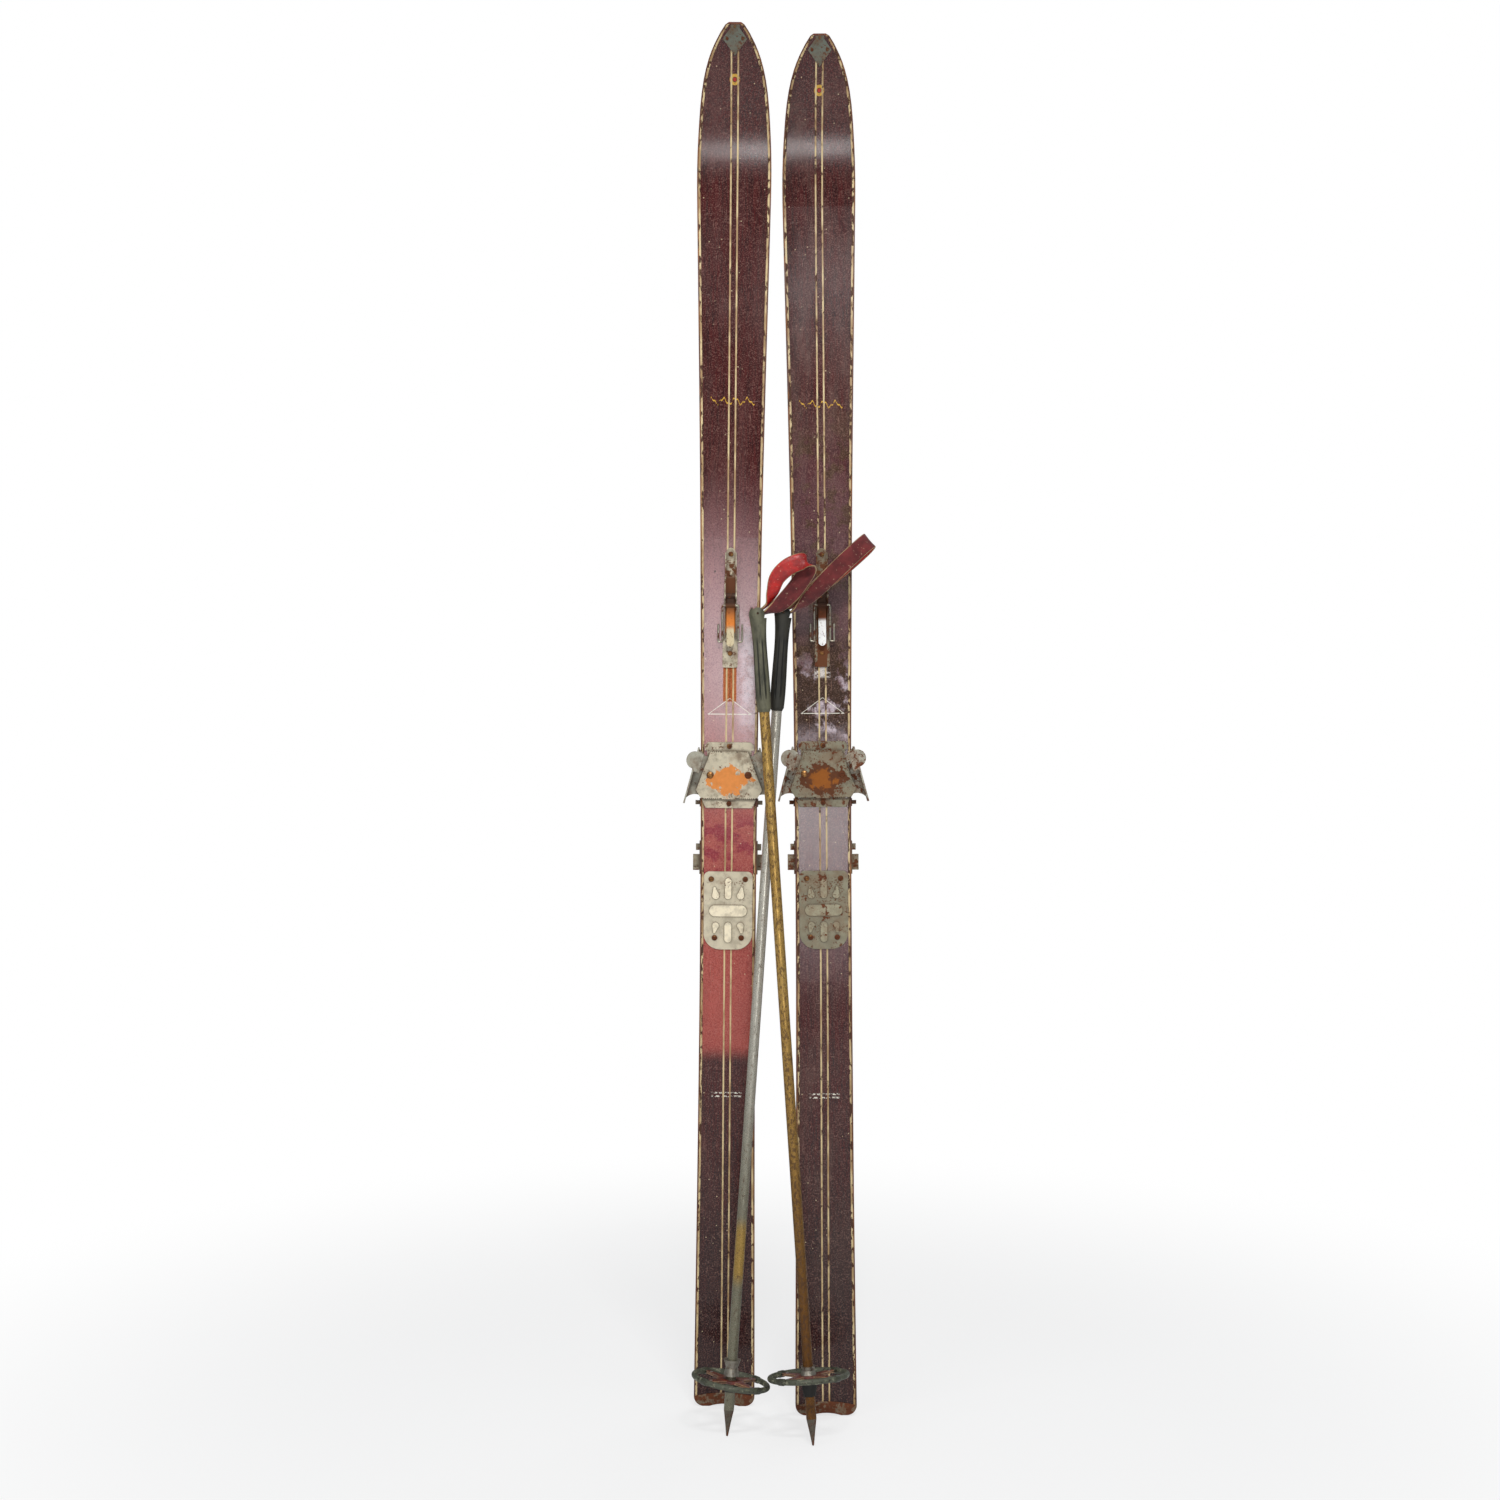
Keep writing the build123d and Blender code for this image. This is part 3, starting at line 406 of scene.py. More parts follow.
def blank_wood(side):
    """Layered body of the ski, stained maroon-brown with bare worn places."""
    look = Look(f"{side}_blank_wood", PLACES[side])
    fibre = look.noise(1.6, (1, 1, 34), 7)
    colour = look.mix(look.ramp(fibre, 0.3, 0.7), tone(84, 48, 28), tone(150, 98, 58))
    layers = look.window(look.math("FRACT", look.times(look.y, 0.19)), 0.02, 0.12, 0.03)
    colour = look.mix(look.times(layers, 0.75), colour, tone(46, 26, 18))
    stained = look.spots(24, 0.45, 0.05, (1, 1, 4), shift=3.0)
    colour = look.mix(look.times(stained, 0.7), colour, tone(74, 30, 24))
    look.bump(fibre, 0.18)
    look.bump(look.math("SUBTRACT", 1.0, layers), 0.12)
    return look.finish(colour, look.blend(stained, 0.68, 0.5))


def sole_wood(side):
    """Lacquered running surface with long scratches and bare streaks under the foot."""
    look = Look(f"{side}_running_surface", PLACES[side])
    fibre = look.noise(2.2, (1, 1, 40), 7)
    colour = look.mix(look.ramp(fibre, 0.3, 0.7), tone(96, 30, 20), tone(146, 62, 36))
    bare = look.times(look.spots(18, 0.5, 0.06, (1, 1, 8)), look.window(look.z, 350, 1300, 160))
    colour = look.mix(look.times(bare, 0.8), colour, tone(186, 136, 86))
    groove = look.window(look.x, -4.8, 4.8, 0.3)
    colour = look.mix(look.times(groove, 0.6), colour, tone(70, 26, 18))
    scratch = look.spots(0.9, 0.66, 0.03, (1, 1, 60), shift=7.0)
    colour = look.mix(look.times(scratch, 0.6), colour, tone(208, 170, 126))
    look.bump(look.math("SUBTRACT", fibre, scratch), 0.14)
    return look.finish(colour, look.blend(bare, 0.3, 0.62), coat=0.3)


def bare_steel(name, place, colour_a=STEEL, colour_b=RUST, level=0.52, stretch=(1, 1, 1), rough=0.34):
    """Steel with rust bloom and pits; `level` is lower for more rust."""
    look = Look(name, place)
    rust = look.spots(9, level, 0.07, stretch)
    pits = look.spots(2.2, 0.6, 0.05, shift=4.0)
    colour = look.mix(look.noise(3, stretch), colour_a, tuple(value * 0.62 for value in colour_a))
    colour = look.mix(rust, colour, look.mix(look.noise(4), colour_b, DARK_RUST))
    colour = look.mix(look.times(pits, 0.8), colour, DARK_RUST)
    cover = look.math("MAXIMUM", rust, pits)
    look.bump(look.noise(1.4), 0.06)
    look.bump(cover, 0.12)
    metal = look.math("SUBTRACT", 1.0, look.times(cover, 0.85))
    return look.finish(colour, look.blend(cover, rough, 0.8), metal)


def painted(side, name, paint, rust_level, worn_patch=None, edge_wear=0.8, raised=None):
    """Painted sheet steel: chipped edges, rust bloom, grime, painted shade in corners and hollows, and an optional
    worn patch.
    """
    look = Look(f"{side}_{name}", PLACES[side])
    edge = look.worn_edges(0.7)
    dusty = tuple(value * 0.66 for value in paint)
    colour = look.mix(look.noise(16), paint, dusty)
    if raised:
        proud = look.ramp(look.y, raised + 0.4, raised + 0.1)
        colour = look.mix(look.times(proud, 0.85), colour, tuple(min(1, value * 1.3) for value in paint))
    # Painted shade: ambient occlusion darkens corners and hollows, on top of real smudges.
    corners = look.node("ShaderNodeAmbientOcclusion")
    corners.samples = 4
    corners.inputs["Distance"].default_value = 5 * MM
    corner_shade = look.ramp(corners.outputs["AO"], 0.97, 0.6)
    smudge = look.spots(14, 0.56, 0.12, shift=2.0)
    darkening = look.math("MAXIMUM", look.times(smudge, 0.55 if raised else 1.0), look.times(corner_shade, 1.5))
    colour = look.mix(look.times(darkening, 0.6), colour, tone(84, 66, 44))
    stain = look.spots(19, rust_level - 0.04, 0.1, shift=12.0)
    colour = look.mix(look.times(stain, 0.4), colour, tone(120, 84, 52))
    speckle = look.spots(2.2, 0.58, 0.05, shift=7.0)
    fine_rust = look.times(speckle, look.spots(15, rust_level - 0.06, 0.05))
    rust = look.math("MAXIMUM", look.spots(9, rust_level + 0.03, 0.03, shift=9.0), fine_rust)
    chips = look.times(edge, look.spots(3.5, 0.52, 0.05))
    bare = look.math("MAXIMUM", rust, look.times(chips, edge_wear))
    rust_colour = look.mix(look.noise(5), RUST, DARK_RUST)
    colour = look.mix(bare, colour, rust_colour)
    if worn_patch:
        patch, patch_colour = worn_patch(look)
        colour = look.mix(patch, colour, patch_colour)
        bare = look.math("MAXIMUM", bare, patch)
    look.bump(look.noise(2.4), 0.06)
    look.bump(look.math("SUBTRACT", 1.0, bare), 0.12)
    return look.finish(colour, look.blend(bare, 0.46, 0.82), 0.0)


def star_patch(rim, heart, reach, heart_size):
    """Ragged patch, wide and roughly star shaped, worn through the paint by the boot."""

    def build(look):
        across = look.times(look.math("ADD", look.x, 1.5), 0.68)
        up = look.math("SUBTRACT", look.z, TOE_CENTRE)
        away = look.math("SQRT", look.math("ADD", look.times(across, across), look.times(up, up)))
        angle = look.math("ARCTAN2", up, across)
        points = look.times(look.math("COSINE", look.times(angle, 4.0)), 2.4)
        ragged = look.times(look.math("SUBTRACT", look.noise(7), 0.5), 34.0)
        edge = look.math("ADD", look.math("ADD", points, ragged), reach)
        patch = look.ramp(look.math("SUBTRACT", away, edge), 0.8, -0.8)
        broken = look.times(look.math("SUBTRACT", look.noise(8, shift=5.0), 0.5), 40.0)
        inner = look.ramp(look.math("ADD", away, broken), heart_size, heart_size * 0.6)
        glow = look.times(inner, look.blend(look.noise(6), 0.5, 1.0))
        return patch, look.mix(glow, look.mix(look.noise(5, shift=3.0), rim, DARK_RUST), heart)

    return build


def throw_patch(side):
    """Rust in the channel and around the axle; the left rear end keeps its paint."""
    left = side == "left"

    def build(look):
        channel = look.window(look.z, *THROW_CHANNEL[side], 3)
        inside = look.ramp(look.math("ABSOLUTE", look.x), 6.6, 5.8)
        front = look.times(look.spots(8, 0.5, 0.03, shift=1.0), look.window(look.z, 1072, 1096, 5))
        patch = look.math("MAXIMUM", look.times(channel, inside), front)
        shade = look.ramp(look.z, 1050, 1010) if left else look.noise(8)
        light = ORANGE_RUST if left else tone(104, 60, 30)
        return patch, look.mix(shade, tone(96, 54, 26), light)

    return build


def lever_look(side):
    """Tongue lever: rust near the axle, old plating or paint towards its end."""
    look = Look(f"{side}_lever_metal", PLACES[side])
    left = side == "left"
    look.worn_edges(0.5)
    plated = tone(196, 180, 142) if left else tone(236, 236, 232)
    colour = look.mix(look.noise(9), plated, tuple(value * 0.7 for value in plated))
    rusty = look.ramp(look.z, 1008, 1016) if left else look.ramp(look.z, 1018, 1024)
    shade = look.mix(look.ramp(look.z, 1016, 1044), ORANGE_RUST if left else RUST, DARK_RUST)
    colour = look.mix(rusty, colour, shade)
    pits = look.spots(2.6, 0.62, 0.04)
    colour = look.mix(pits, colour, RUST)
    cover = look.math("MAXIMUM", rusty, pits)
    look.bump(cover, 0.1)
    look.bump(look.noise(1.5), 0.04)
    metal = look.times(look.math("SUBTRACT", 1.0, cover), 0.25 if left else 0.7)
    return look.finish(colour, look.blend(cover, 0.3, 0.8), metal)


# ---------------------------------------------------------------- pole looks


def tube_look(pole):
    """Plated tube; the front one is brassy and pitted, the rear one silver with one brassy band."""
    look = Look(f"{pole}_plating", PLACES[pole])
    if pole == "front_pole":
        colour = look.mix(look.noise(22, (1, 1, 4)), tone(226, 188, 108), tone(160, 116, 52))
        # Painted shade: darker towards the bottom.
        colour = look.mix(look.ramp(look.z, 620, 120), colour, tone(112, 74, 30))
        level = 0.52
    else:
        band = look.window(look.z, 196, 268, 12)
        colour = look.mix(look.noise(26, (1, 1, 4)), tone(228, 224, 212), tone(170, 166, 150))
        # Painted shade: darker towards the bottom.
        colour = look.mix(look.times(look.ramp(look.z, 560, 220), 0.85), colour, tone(104, 102, 80))
        colour = look.mix(look.times(band, 0.85), colour, tone(176, 140, 66))
        level = 0.6
    rust = look.spots(2.6, level, 0.06, (1, 1, 1.7))
    pits = look.spots(1.2, 0.56, 0.05, shift=6.0)
    cover = look.math("MAXIMUM", rust, look.times(pits, 0.7))
    colour = look.mix(look.times(cover, 0.82), colour, tone(70, 44, 20))
    look.bump(cover, 0.08)
    metal = look.math("SUBTRACT", 0.6, look.times(cover, 0.4))
    return look.finish(colour, look.blend(cover, 0.26, 0.66), metal)


def grip_look(pole):
    """Moulded rubber: dust and a painted highlight on the ridges, painted shade in the flutes."""
    look = Look(f"{pole}_grip_rubber", PLACES[pole])
    front = pole == "front_pole"
    # Painted shade in the flutes and painted highlight, with dust, on the ridges, found from the angle round the
    # axis.
    turn = look.times(look.math("ARCTAN2", look.y, look.x), 8.0)
    wave = look.ramp(look.math("COSINE", turn), -0.35, -0.9)
    flute = look.times(wave, look.window(look.z, 930, 1002, 5))
    ridge_dust_and_highlight = tone(104, 102, 82) if front else tone(50, 48, 40)
    deep = tone(34, 34, 25) if front else tone(16, 16, 13)
    patchy = look.noise(12, (1, 1, 3))
    ridge = look.times(look.math("SUBTRACT", 1.0, flute), look.ramp(patchy, 0.2, 0.62))
    colour = look.mix(ridge, deep, ridge_dust_and_highlight)
    cracks = look.spots(1.4, 0.64, 0.04, (1, 1, 5), shift=3.0)
    colour = look.mix(look.times(cracks, 0.6), colour, deep)
    look.bump(look.math("SUBTRACT", 1.0, flute), 0.5)
    look.bump(look.math("SUBTRACT", patchy, cracks), 0.12)
    look.bump(look.noise(0.8), 0.04)
    return look.finish(colour, look.blend(patchy, 0.5, 0.8))


def hub_look(pole):
    """Turned collar above the web, black rubber stop below it."""
    look = Look(f"{pole}_hub_metal", PLACES[pole])
    rubber = look.ramp(look.z, BASKETS[pole][0] + 0.5, BASKETS[pole][0] - 0.5)
    turned = look.window(look.math("FRACT", look.times(look.z, 0.8)), 0.2, 0.5, 0.1)
    colour = look.mix(look.noise(4), tone(188, 184, 172), tone(112, 104, 90))
    colour = look.mix(look.times(look.spots(4, 0.6), 0.5), colour, tone(96, 76, 50))
    colour = look.mix(rubber, colour, tone(26, 25, 22))
    look.bump(turned, 0.15)
    look.bump(look.noise(1.2), 0.08)
    metal = look.math("SUBTRACT", 0.85, look.times(rubber, 0.85))
    return look.finish(colour, look.blend(rubber, 0.34, 0.72), metal)


def ring_look(pole):
    """Dull olive-grey cover of the basket ring, rubbed lighter in places."""
    look = Look(f"{pole}_ring_cover", PLACES[pole])
    worn = look.spots(9, 0.6, 0.06, (1, 1, 0.6))
    colour = look.mix(look.noise(14), tone(58, 62, 50), tone(92, 94, 78))
    colour = look.mix(worn, colour, tone(134, 134, 112))
    colour = look.mix(look.spots(3, 0.6, shift=2.0), colour, tone(46, 34, 22))
    look.bump(look.noise(2), 0.12)
    return look.finish(colour, look.blend(worn, 0.6, 0.36))


def leather_look(name, place, light, dark, suede=False, dark_beyond=None):
    """Creased smooth leather, or napped suede. It may be blackened beyond a distance from the pole."""
    look = Look(name, place)
    creases = look.node("ShaderNodeTexVoronoi", "feature", "DISTANCE_TO_EDGE")
    look.join(creases.inputs["Vector"], look.at)
    creases.inputs["Scale"].default_value = 0.9 if suede else 0.55
    grain = look.ramp(creases.outputs["Distance"], 0.0, 0.12)
    cloud = look.noise(14, detail=6)
    nap = look.noise(0.7 if suede else 1.6, detail=4)
    colour = look.mix(look.ramp(cloud, 0.3, 0.7), dark, light)
    scuff = look.spots(3.4, 0.66, 0.03, shift=5.0)
    colour = look.mix(look.times(scuff, 0.6), colour, tone(206, 170, 140))
    colour = look.mix(look.times(look.ramp(nap, 0.5, 0.75), 0.35 if suede else 0.12), colour, dark)
    if dark_beyond:
        away = look.radius(flat=False)
        colour = look.mix(look.ramp(away, dark_beyond, dark_beyond + 1.5), colour, tone(62, 64, 52))
    look.bump(grain, 0.04 if suede else 0.09)
    look.bump(nap, 0.12 if suede else 0.05)
    rough = 0.9 if suede else look.blend(scuff, 0.36, 0.7)
    return look.finish(colour, rough, sheen=0.3 if suede else 0.0)


# ---------------------------------------------------------------- new meshes


def smooth_path(points, steps):
    """Catmull-Rom line through rows of numbers."""
    last = len(points) - 1
    rows = []
    for i in range(last):
        p0, p1, p2, p3 = (Vector(points[min(max(k, 0), last)]) for k in (i - 1, i, i + 1, i + 2))
        for step in range(steps):
            t = step / steps
            bend = p2 - p0, 2 * p0 - 5 * p1 + 4 * p2 - p3, 3 * p1 - p0 - 3 * p2 + p3
            rows.append(p1 + (bend[0] * t + bend[1] * t * t + bend[2] * t**3) / 2)
    rows.append(Vector(points[last]))
    return rows


# Material of the band's face after each point of its outline: 0 outer, 1 inner, 2 cut edge
BAND_FACES = (0, 0, 0, 2, 2, 2, 1, 1, 1, 2, 2, 2)


def band_outline(width, thick):
    """Outline of a leather band with softened edges, as pairs of (across, outward)."""
    w, t, soft = width / 2, thick / 2, thick * 0.3
    return [
        (-w + soft, t), (-w / 3, t * 1.06), (w / 3, t * 1.06), (w - soft, t),
        (w, t - soft), (w, -t + soft), (w - soft, -t), (w / 3, -t), (-w / 3, -t),
        (-w + soft, -t), (-w, -t + soft), (-w, t - soft),
    ]


def band_mesh(name, place, stations, materials):
    """Object of a band. Its stations are centre, width direction, outward direction, width, thickness."""
    mesh = bmesh.new()
    rings = []
    for centre, across, outward, width, thick in stations:
        outline = band_outline(width, thick)
        rings.append([mesh.verts.new(centre + across * u + outward * v) for u, v in outline])
    for low, high in zip(rings, rings[1:]):
        for i, slot in enumerate(BAND_FACES):
            after = (i + 1) % len(BAND_FACES)
            face = mesh.faces.new((low[i], low[after], high[after], high[i]))
            face.material_index = slot
            face.smooth = True
    for ring in (rings[0], rings[-1]):
        mesh.faces.new(ring).material_index = 2
    return solid_object(name, mesh, place, materials)


def solid_object(name, mesh, place, materials):
    """Turns a bmesh in millimetres of a local frame into an object in the row frame."""
    mesh.transform(place @ Matrix.Scale(MM, 4))
    bmesh.ops.recalc_face_normals(mesh, faces=mesh.faces)
    data = bpy.data.meshes.new(name)
    mesh.to_mesh(data)
    mesh.free()
    for material in materials:
        data.materials.append(material)
    made = bpy.data.objects.new(name, data)
    bpy.context.scene.collection.objects.link(made)
    return made


STRAPS = {  # from the strap pin: x, y, z, twist in degrees, width
    "front_pole": [
        (-2, 0, -1.6, 0, 10), (10, -1, 1.4, 18, 12), (27, -6.5, 8.5, 70, 19), (46, -6, 25, 90, 22),
        (60, -8, 42, 90, 22), (66, -11, 51, 90, 22), (66, -15, 57, 90, 22), (58, -18, 60, 90, 22),
        (41, -19, 54, 90, 22),
        (27, -17, 42, 84, 20), (20, -12, 25, 60, 16), (13, -3, 11, 16, 11), (-2, 0, 1.6, 0, 10),
    ],
    "rear_pole": [
        (-2, 0, -1.6, 0, 10), (12, -1, 3, 10, 12), (30, -5, 21, 60, 19), (62, -8, 57, 88, 22),
        (91, -8, 88, 90, 22), (101, -1, 97, 90, 22), (93, 6, 86, 90, 22), (64, 7, 57, 88, 22),
        (31, 5, 27, 58, 19), (11, 2, 9, 10, 12), (-2, 0, 1.6, 0, 10),
    ],
}


def strap(pole, outer, inner, edge):
    """Wrist loop: a leather band from the pin, round a loop and back to the pin."""
    rows = smooth_path([Vector(point) for point in STRAPS[pole]], 9)
    centres = [Vector(row[:3]) for row in rows]
    middle = centres[len(centres) // 2]
    upright = Vector((0, 1, 0)).cross(middle).normalized()
    last = len(rows) - 1
    stations = []
    for i, row in enumerate(rows):
        along = (centres[min(i + 1, last)] - centres[max(i - 1, 0)]).normalized()
        twist = radians(row[3])
        across = Vector((0, 1, 0)) * cos(twist) + upright * sin(twist)
        across = (across - along * across.dot(along)).normalized()
        outward = along.cross(across)
        stations.append((centres[i], across, outward, row[4], STRAP_THICK))
    place = PLACES[pole] @ Matrix.Translation((0, 0, PIN_HEIGHT * MM))
    made = band_mesh(f"{pole}_leather_strap", place, stations, [outer, inner, edge])
    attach(made, f"{pole}_strap")
    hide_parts(f"{pole}_strap")


def web_path(ring):
    """Line of a strip, out above, round the ring's tube and back below: x, z, width, thickness."""
    profile = [(11.5, 0.85, 15), (17, 1.0, 14), (24, 1.0, 11.5), (31, 0.95, 10), (37, 0.9, 9.4)]
    above = [(x, z, width, WEB_THICK) for x, z, width in profile if x < ring - 8]
    above.append((ring - 7.5, 0.95, 9.4, WEB_THICK))
    below = [(x, -z, width, thick) for x, z, width, thick in reversed(above)]
    loop = RING_TUBE + WRAP_THICK / 2 + 0.1
    bends = [radians(150 - 37.5 * k) for k in range(9)]
    around = [(ring + loop * cos(bend), loop * sin(bend), WRAP_WIDTH, WRAP_THICK) for bend in bends]
    return above + around + below


def web_strip(name, place, angle, path, materials):
    """One leather strip of a basket web, pointing out at an angle from x."""
    out = Vector((cos(angle), sin(angle), 0))
    side = Vector((-sin(angle), cos(angle), 0))
    centres = [out * x + Vector((0, 0, z)) for x, z, _, _ in path]
    last = len(path) - 1
    stations = []
    for k, (_, _, width, thick) in enumerate(path):
        along = centres[min(k + 1, last)] - centres[max(k - 1, 0)]
        outward = -along.normalized().cross(side)
        stations.append((centres[k], side, outward, width, thick))
    return band_mesh(name, place, stations, materials)


def web_washer(name, place, material):
    """Round leather washer in the middle of a basket web, with a softened rim."""
    outline = [(15.6, 1.8), (16.8, 0.9), (16.8, -0.9), (15.6, -1.8)]
    outline = [(SHAFT_RADIUS + 0.2, 1.9), *outline, (SHAFT_RADIUS + 0.2, -1.9)]
    mesh = bmesh.new()
    count = 40
    rings = []
    for k in range(count):
        angle = 2 * pi * k / count
        rings.append([mesh.verts.new((r * cos(angle), r * sin(angle), z)) for r, z in outline])
    for low, high in zip(rings, rings[1:] + rings[:1]):
        for i in range(len(outline)):
            after = (i + 1) % len(outline)
            mesh.faces.new((low[i], low[after], high[after], high[i])).smooth = True
    return solid_object(name, mesh, place, [material])


def web(pole, material, edge):
    """Leather basket web: a centre washer and four strips, each looped round the ring."""
    height, reach, tilt = BASKETS[pole]
    turn = Euler([radians(tilt[0]), radians(tilt[1]), 0]).to_matrix().to_4x4()
    place = PLACES[pole] @ Matrix.Translation((0, 0, height * MM)) @ turn
    path = web_path(reach - RING_TUBE)
    for i in range(4):
        angle = radians(45 + 90 * i)
        made = web_strip(f"{pole}_web_strip_{i + 1}", place, angle, path, [material, material, edge])
        finish_web(made, pole, False)
    made = web_washer(f"{pole}_web_washer", place, material)
    finish_web(made, pole, True)


def finish_web(made, pole, stands_in):
    """Puts a web piece on the basket's body. One of them stands for the CAD node of the web."""
    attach(made, f"{pole}_basket")
    if stands_in:
        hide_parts(f"{pole}_basket_web")


# ---------------------------------------------------------------- dressing the model


def dress(node, material):
    """Gives a CAD node its material."""
    slots = frame["nodes"][node].data.materials
    slots.clear()
    slots.append(material)


def dress_ski(side):
    place = PLACES[side]
    left = side == "left"
    # Painted light and shade: one paint, given as a lit copy on the left binding and a shaded copy on the right.
    paint = tone(222, 210, 182) if left else tone(146, 140, 116)
    rust_level = 0.64 if left else 0.55
    cover_patch = (
        star_patch(tone(214, 112, 40), tone(236, 150, 78), 17.0, 60.0)
        if left
        else star_patch(tone(112, 62, 26), tone(158, 90, 20), 18.5, 13.0)
    )
    plain = painted(side, "binding_paint", paint, rust_level)
    looks = {
        "ski_core": blank_wood(side),
        "sole": sole_wood(side),
        "steel_edges": bare_steel(f"{side}_edge_steel", place, level=0.5, stretch=(1, 1, 5)),
        "edge_screws": bare_steel(f"{side}_edge_screw_steel", place, tone(120, 112, 100), level=0.48),
        "top_sheet": lacquer(side),
        "top_edge_strips": cream_plastic(side, "edge_strip", 0.56 if left else 0.53),
        "centre_stripes": cream_plastic(side, "stripe", 0.66 if left else 0.6),
        "tip_plate": painted(side, "tip_plate_paint", tone(112, 118, 106), 0.56),
        "tail_plate": painted(side, "tail_plate_paint", tone(128, 118, 100), 0.44),
        "plate_nails": bare_steel(f"{side}_nail_steel", place, tone(140, 116, 84), level=0.45),
        "throw_base": painted(side, "throw_paint", paint, rust_level - 0.04, throw_patch(side)),
        "throw_lever": lever_look(side),
        "throw_axle": bare_steel(f"{side}_axle_steel", place, tone(214, 208, 192), level=0.6),
        "cable_bail": bare_steel(f"{side}_wire_steel", place, tone(190, 184, 166), level=0.56),
        "toe_plate": plain,
        "toe_cover": painted(side, "cover_paint", paint, rust_level, cover_patch),
        "toe_wing_left": painted(side, "wing_left_paint", tone(178, 174, 156), rust_level - 0.02),
        "toe_wing_right": painted(side, "wing_right_paint", tone(178, 174, 156), rust_level - 0.03),
        "foot_plate": painted(side, "heel_plate_paint", paint, rust_level + 0.04, None, 0.3, HEEL_TREAD.y),
        "binding_screws": bare_steel(f"{side}_screw_steel", place, tone(176, 128, 78), level=0.44),
        "side_hooks": painted(side, "hook_paint", tone(160, 152, 128), rust_level - 0.06),
    }
    for node, material in looks.items():
        dress(f"{side}_{node}", material)


def dress_pole(pole):
    place = PLACES[pole]
    front = pole == "front_pole"
    looks = {
        "shaft": tube_look(pole),
        "grip": grip_look(pole),
        "strap_pin": bare_steel(f"{pole}_pin_steel", place, tone(90, 84, 72)),
        "spike": bare_steel(f"{pole}_spike_steel", place, tone(120, 112, 100), RUST, 0.5, (1, 1, 3)),
        "basket_ring": ring_look(pole),
        "basket_rivets": bare_steel(f"{pole}_rivet_steel", place, SILVER, level=0.66),
        "basket_hub": hub_look(pole),
    }
    for node, material in looks.items():
        dress(f"{pole}_{node}", material)
    wrap = BASKETS[pole][1] - 2 * RING_TUBE - 3
    brown = leather_look(
        f"{pole}_web_leather", place, tone(122, 58, 44), tone(70, 30, 26), dark_beyond=wrap
    )
    trim = leather_look(
        f"{pole}_web_edge", place, tone(150, 112, 78), tone(92, 60, 42), True, dark_beyond=wrap
    )
    cut = leather_look(f"{pole}_cut_edge", place, tone(176, 146, 104), tone(112, 84, 56), True)
    red = leather_look(f"{pole}_red_leather", place, tone(196, 30, 22), tone(128, 16, 14))
    suede = leather_look(f"{pole}_suede", place, tone(114, 42, 42), tone(78, 24, 26), True)
    web(pole, brown, trim)
    strap(pole, red, suede, cut)


for ski_side in SIDES:
    dress_ski(ski_side)
for each_pole in POLES:
    dress_pole(each_pole)


# ---------------------------------------------------------------- stage, light and camera


def floor_paper():
    """Matt white paper that the camera sees fade to plain white away from the object."""
    look = Look("floor_paper", Matrix.Identity(4))
    look.shader.inputs["Specular IOR Level"].default_value = 0.0
    colour = look.mix(look.noise(400), (0.9, 0.9, 0.9), (0.87, 0.87, 0.87))
    material = look.finish(colour, 1.0)
    away = look.radius(flat=False)
    glow = look.node("ShaderNodeEmission")
    camera_ray = look.node("ShaderNodeLightPath").outputs["Is Camera Ray"]
    share = look.times(camera_ray, look.math("ADD", look.times(look.ramp(away, 500, 1500), 0.3), 0.7))
    choice = look.node("ShaderNodeMixShader")
    look.join(choice.inputs[0], share)
    look.join(choice.inputs[1], look.shader.outputs[0])
    look.join(choice.inputs[2], glow.outputs[0])
    look.join(look.tree.nodes["Material Output"].inputs["Surface"], choice.outputs[0])
    return material


FLOOR_DROP = 0.5  # millimetres, so that the floor doesn't flicker through the lowest faces


def add_floor():
    """Wide paper floor under the object."""
    mesh = bmesh.new()
    bmesh.ops.create_grid(mesh, x_segments=2, y_segments=2, size=9.0)
    data = bpy.data.meshes.new("floor")
    mesh.to_mesh(data)
    mesh.free()
    floor = bpy.data.objects.new("floor", data)
    floor.location.z = cad_box[0][2] - FLOOR_DROP * MM
    bpy.context.scene.collection.objects.link(floor)
    data.materials.append(floor_paper())


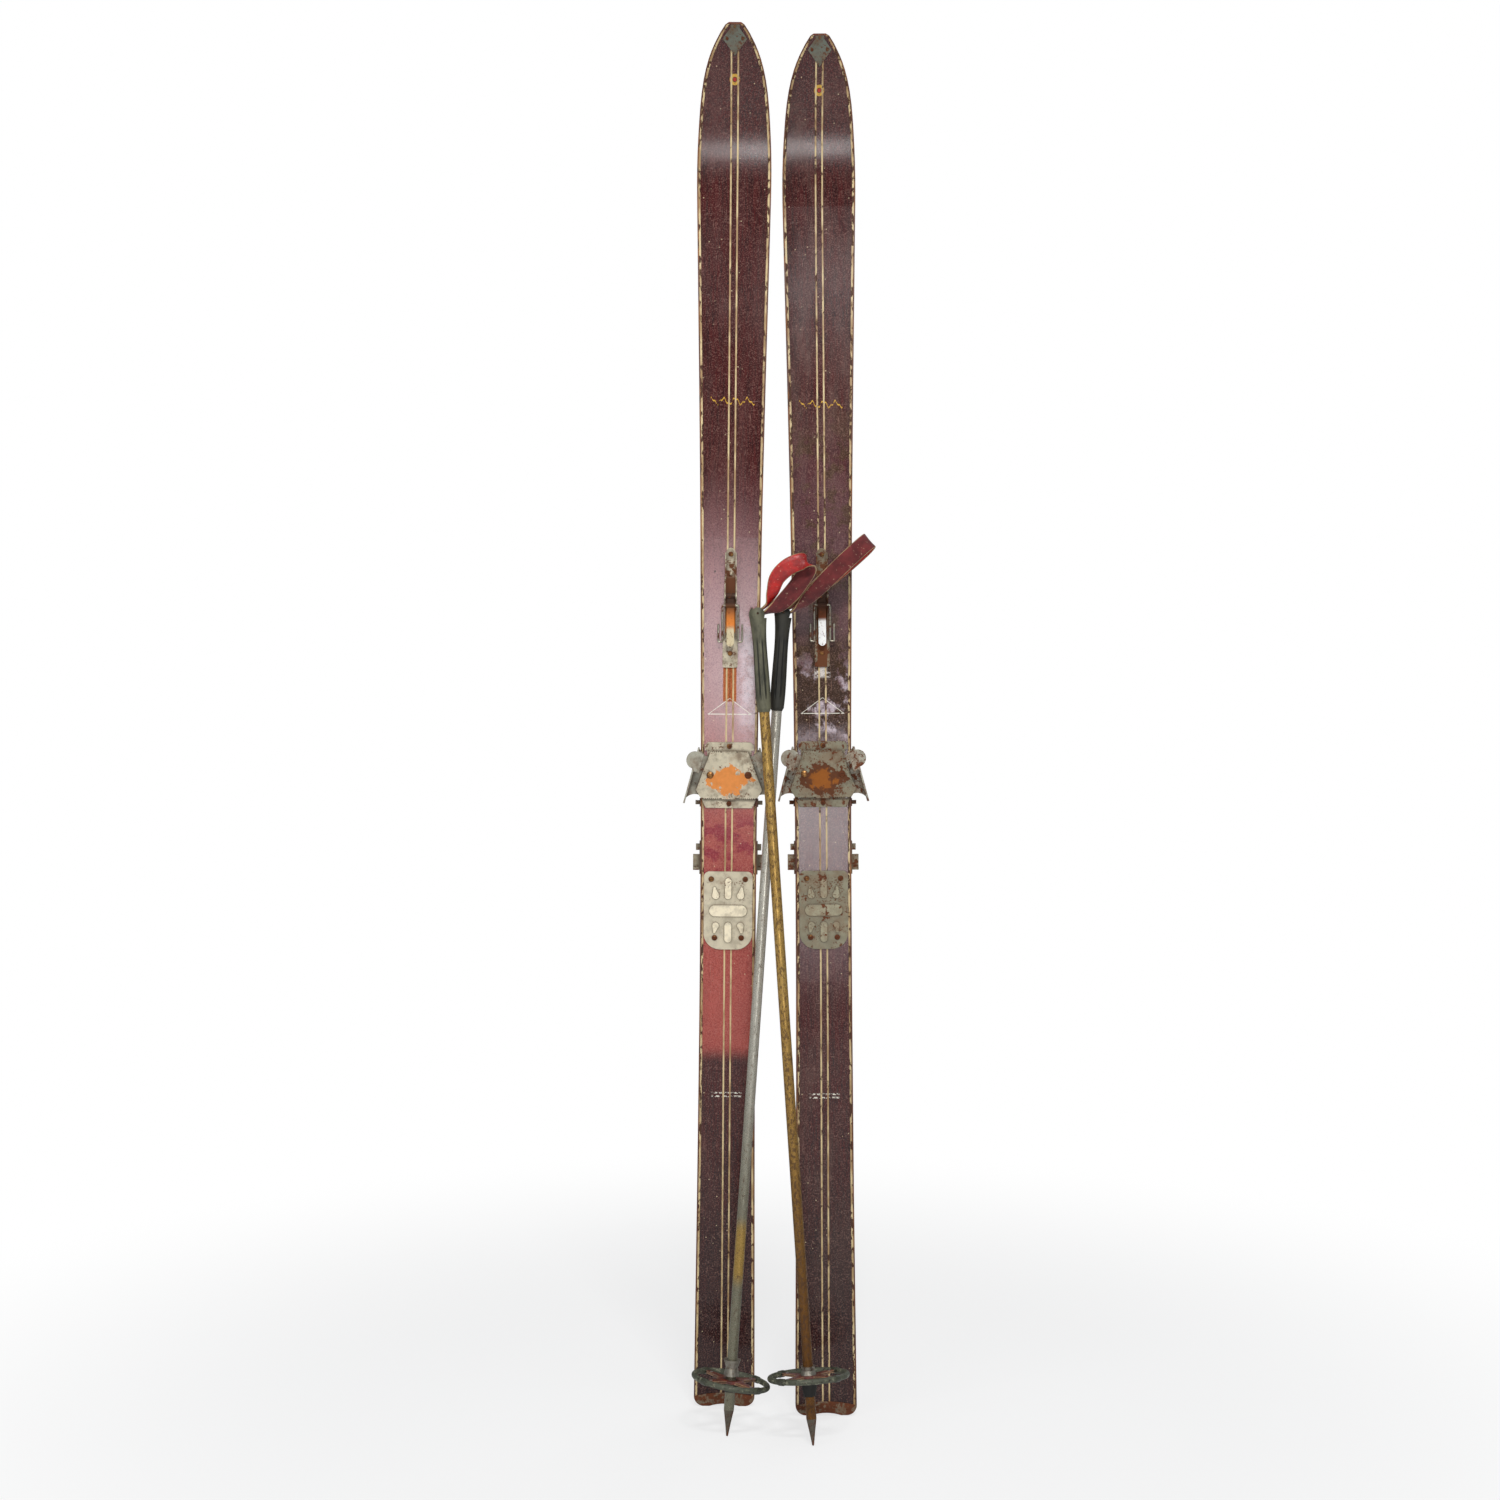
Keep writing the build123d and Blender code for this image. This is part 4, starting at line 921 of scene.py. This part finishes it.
def add_light(name, at, target, size, power):
    """Rectangular lamp of `size` metres that faces its target; power in watts."""
    data = bpy.data.lights.new(name, "AREA")
    data.shape = "RECTANGLE"
    data.size, data.size_y = size
    data.energy = power
    light = bpy.data.objects.new(name, data)
    light.location = at
    light.rotation_euler = (Vector(target) - Vector(at)).to_track_quat("-Z", "Y").to_euler()
    bpy.context.scene.collection.objects.link(light)


def add_world():
    """Soft grey surroundings that the camera sees as white."""
    world = bpy.data.worlds.new("studio")
    bpy.context.scene.world = world
    world.use_nodes = True
    tree = world.node_tree
    background = tree.nodes["Background"]
    white = tree.nodes.new("ShaderNodeBackground")
    choice = tree.nodes.new("ShaderNodeMixShader")
    background.inputs["Color"].default_value = (0.9, 0.95, 1.0, 1)
    background.inputs["Strength"].default_value = 0.22
    white.inputs["Color"].default_value = (1, 1, 1, 1)
    tree.links.new(tree.nodes.new("ShaderNodeLightPath").outputs["Is Camera Ray"], choice.inputs[0])
    tree.links.new(background.outputs[0], choice.inputs[1])
    tree.links.new(white.outputs[0], choice.inputs[2])
    tree.links.new(choice.outputs[0], tree.nodes["World Output"].inputs["Surface"])


CAMERA_AT = Vector((-0.0364, -2.926, 1.05))
LENS = 56.25
SENSOR = 36.0
LOOK_DOWN = 3.73  # degrees below level


def add_camera():
    data = bpy.data.cameras.new("camera")
    data.lens = LENS
    data.sensor_width = SENSOR
    camera = bpy.data.objects.new("camera", data)
    camera.location = CAMERA_AT
    camera.rotation_euler = (pi / 2 - radians(LOOK_DOWN), 0, 0)
    bpy.context.scene.collection.objects.link(camera)
    bpy.context.scene.camera = camera


add_floor()
add_world()
add_light("high_strip", (0.35, -3.0, 3.7), (0, 0, 1.5), (1.2, 0.2), 85)
add_light("front_panel", (0.05, -3.0, 0.86), (-0.05, 0, 0.9), (0.5, 0.4), 9)
add_light("soft_side", (-2.4, -2.4, 2.2), (0, 0, 0.9), (2.2, 2.2), 26)
add_light("soft_top", (0.6, -1.2, 3.4), (0, 0, 0.2), (2.5, 2.5), 16)
add_light("back_fill", (1.6, 2.8, 2.2), (0, 0, 0.9), (2.0, 2.0), 16)
add_camera()
bpy.context.scene.view_settings.view_transform = "Standard"
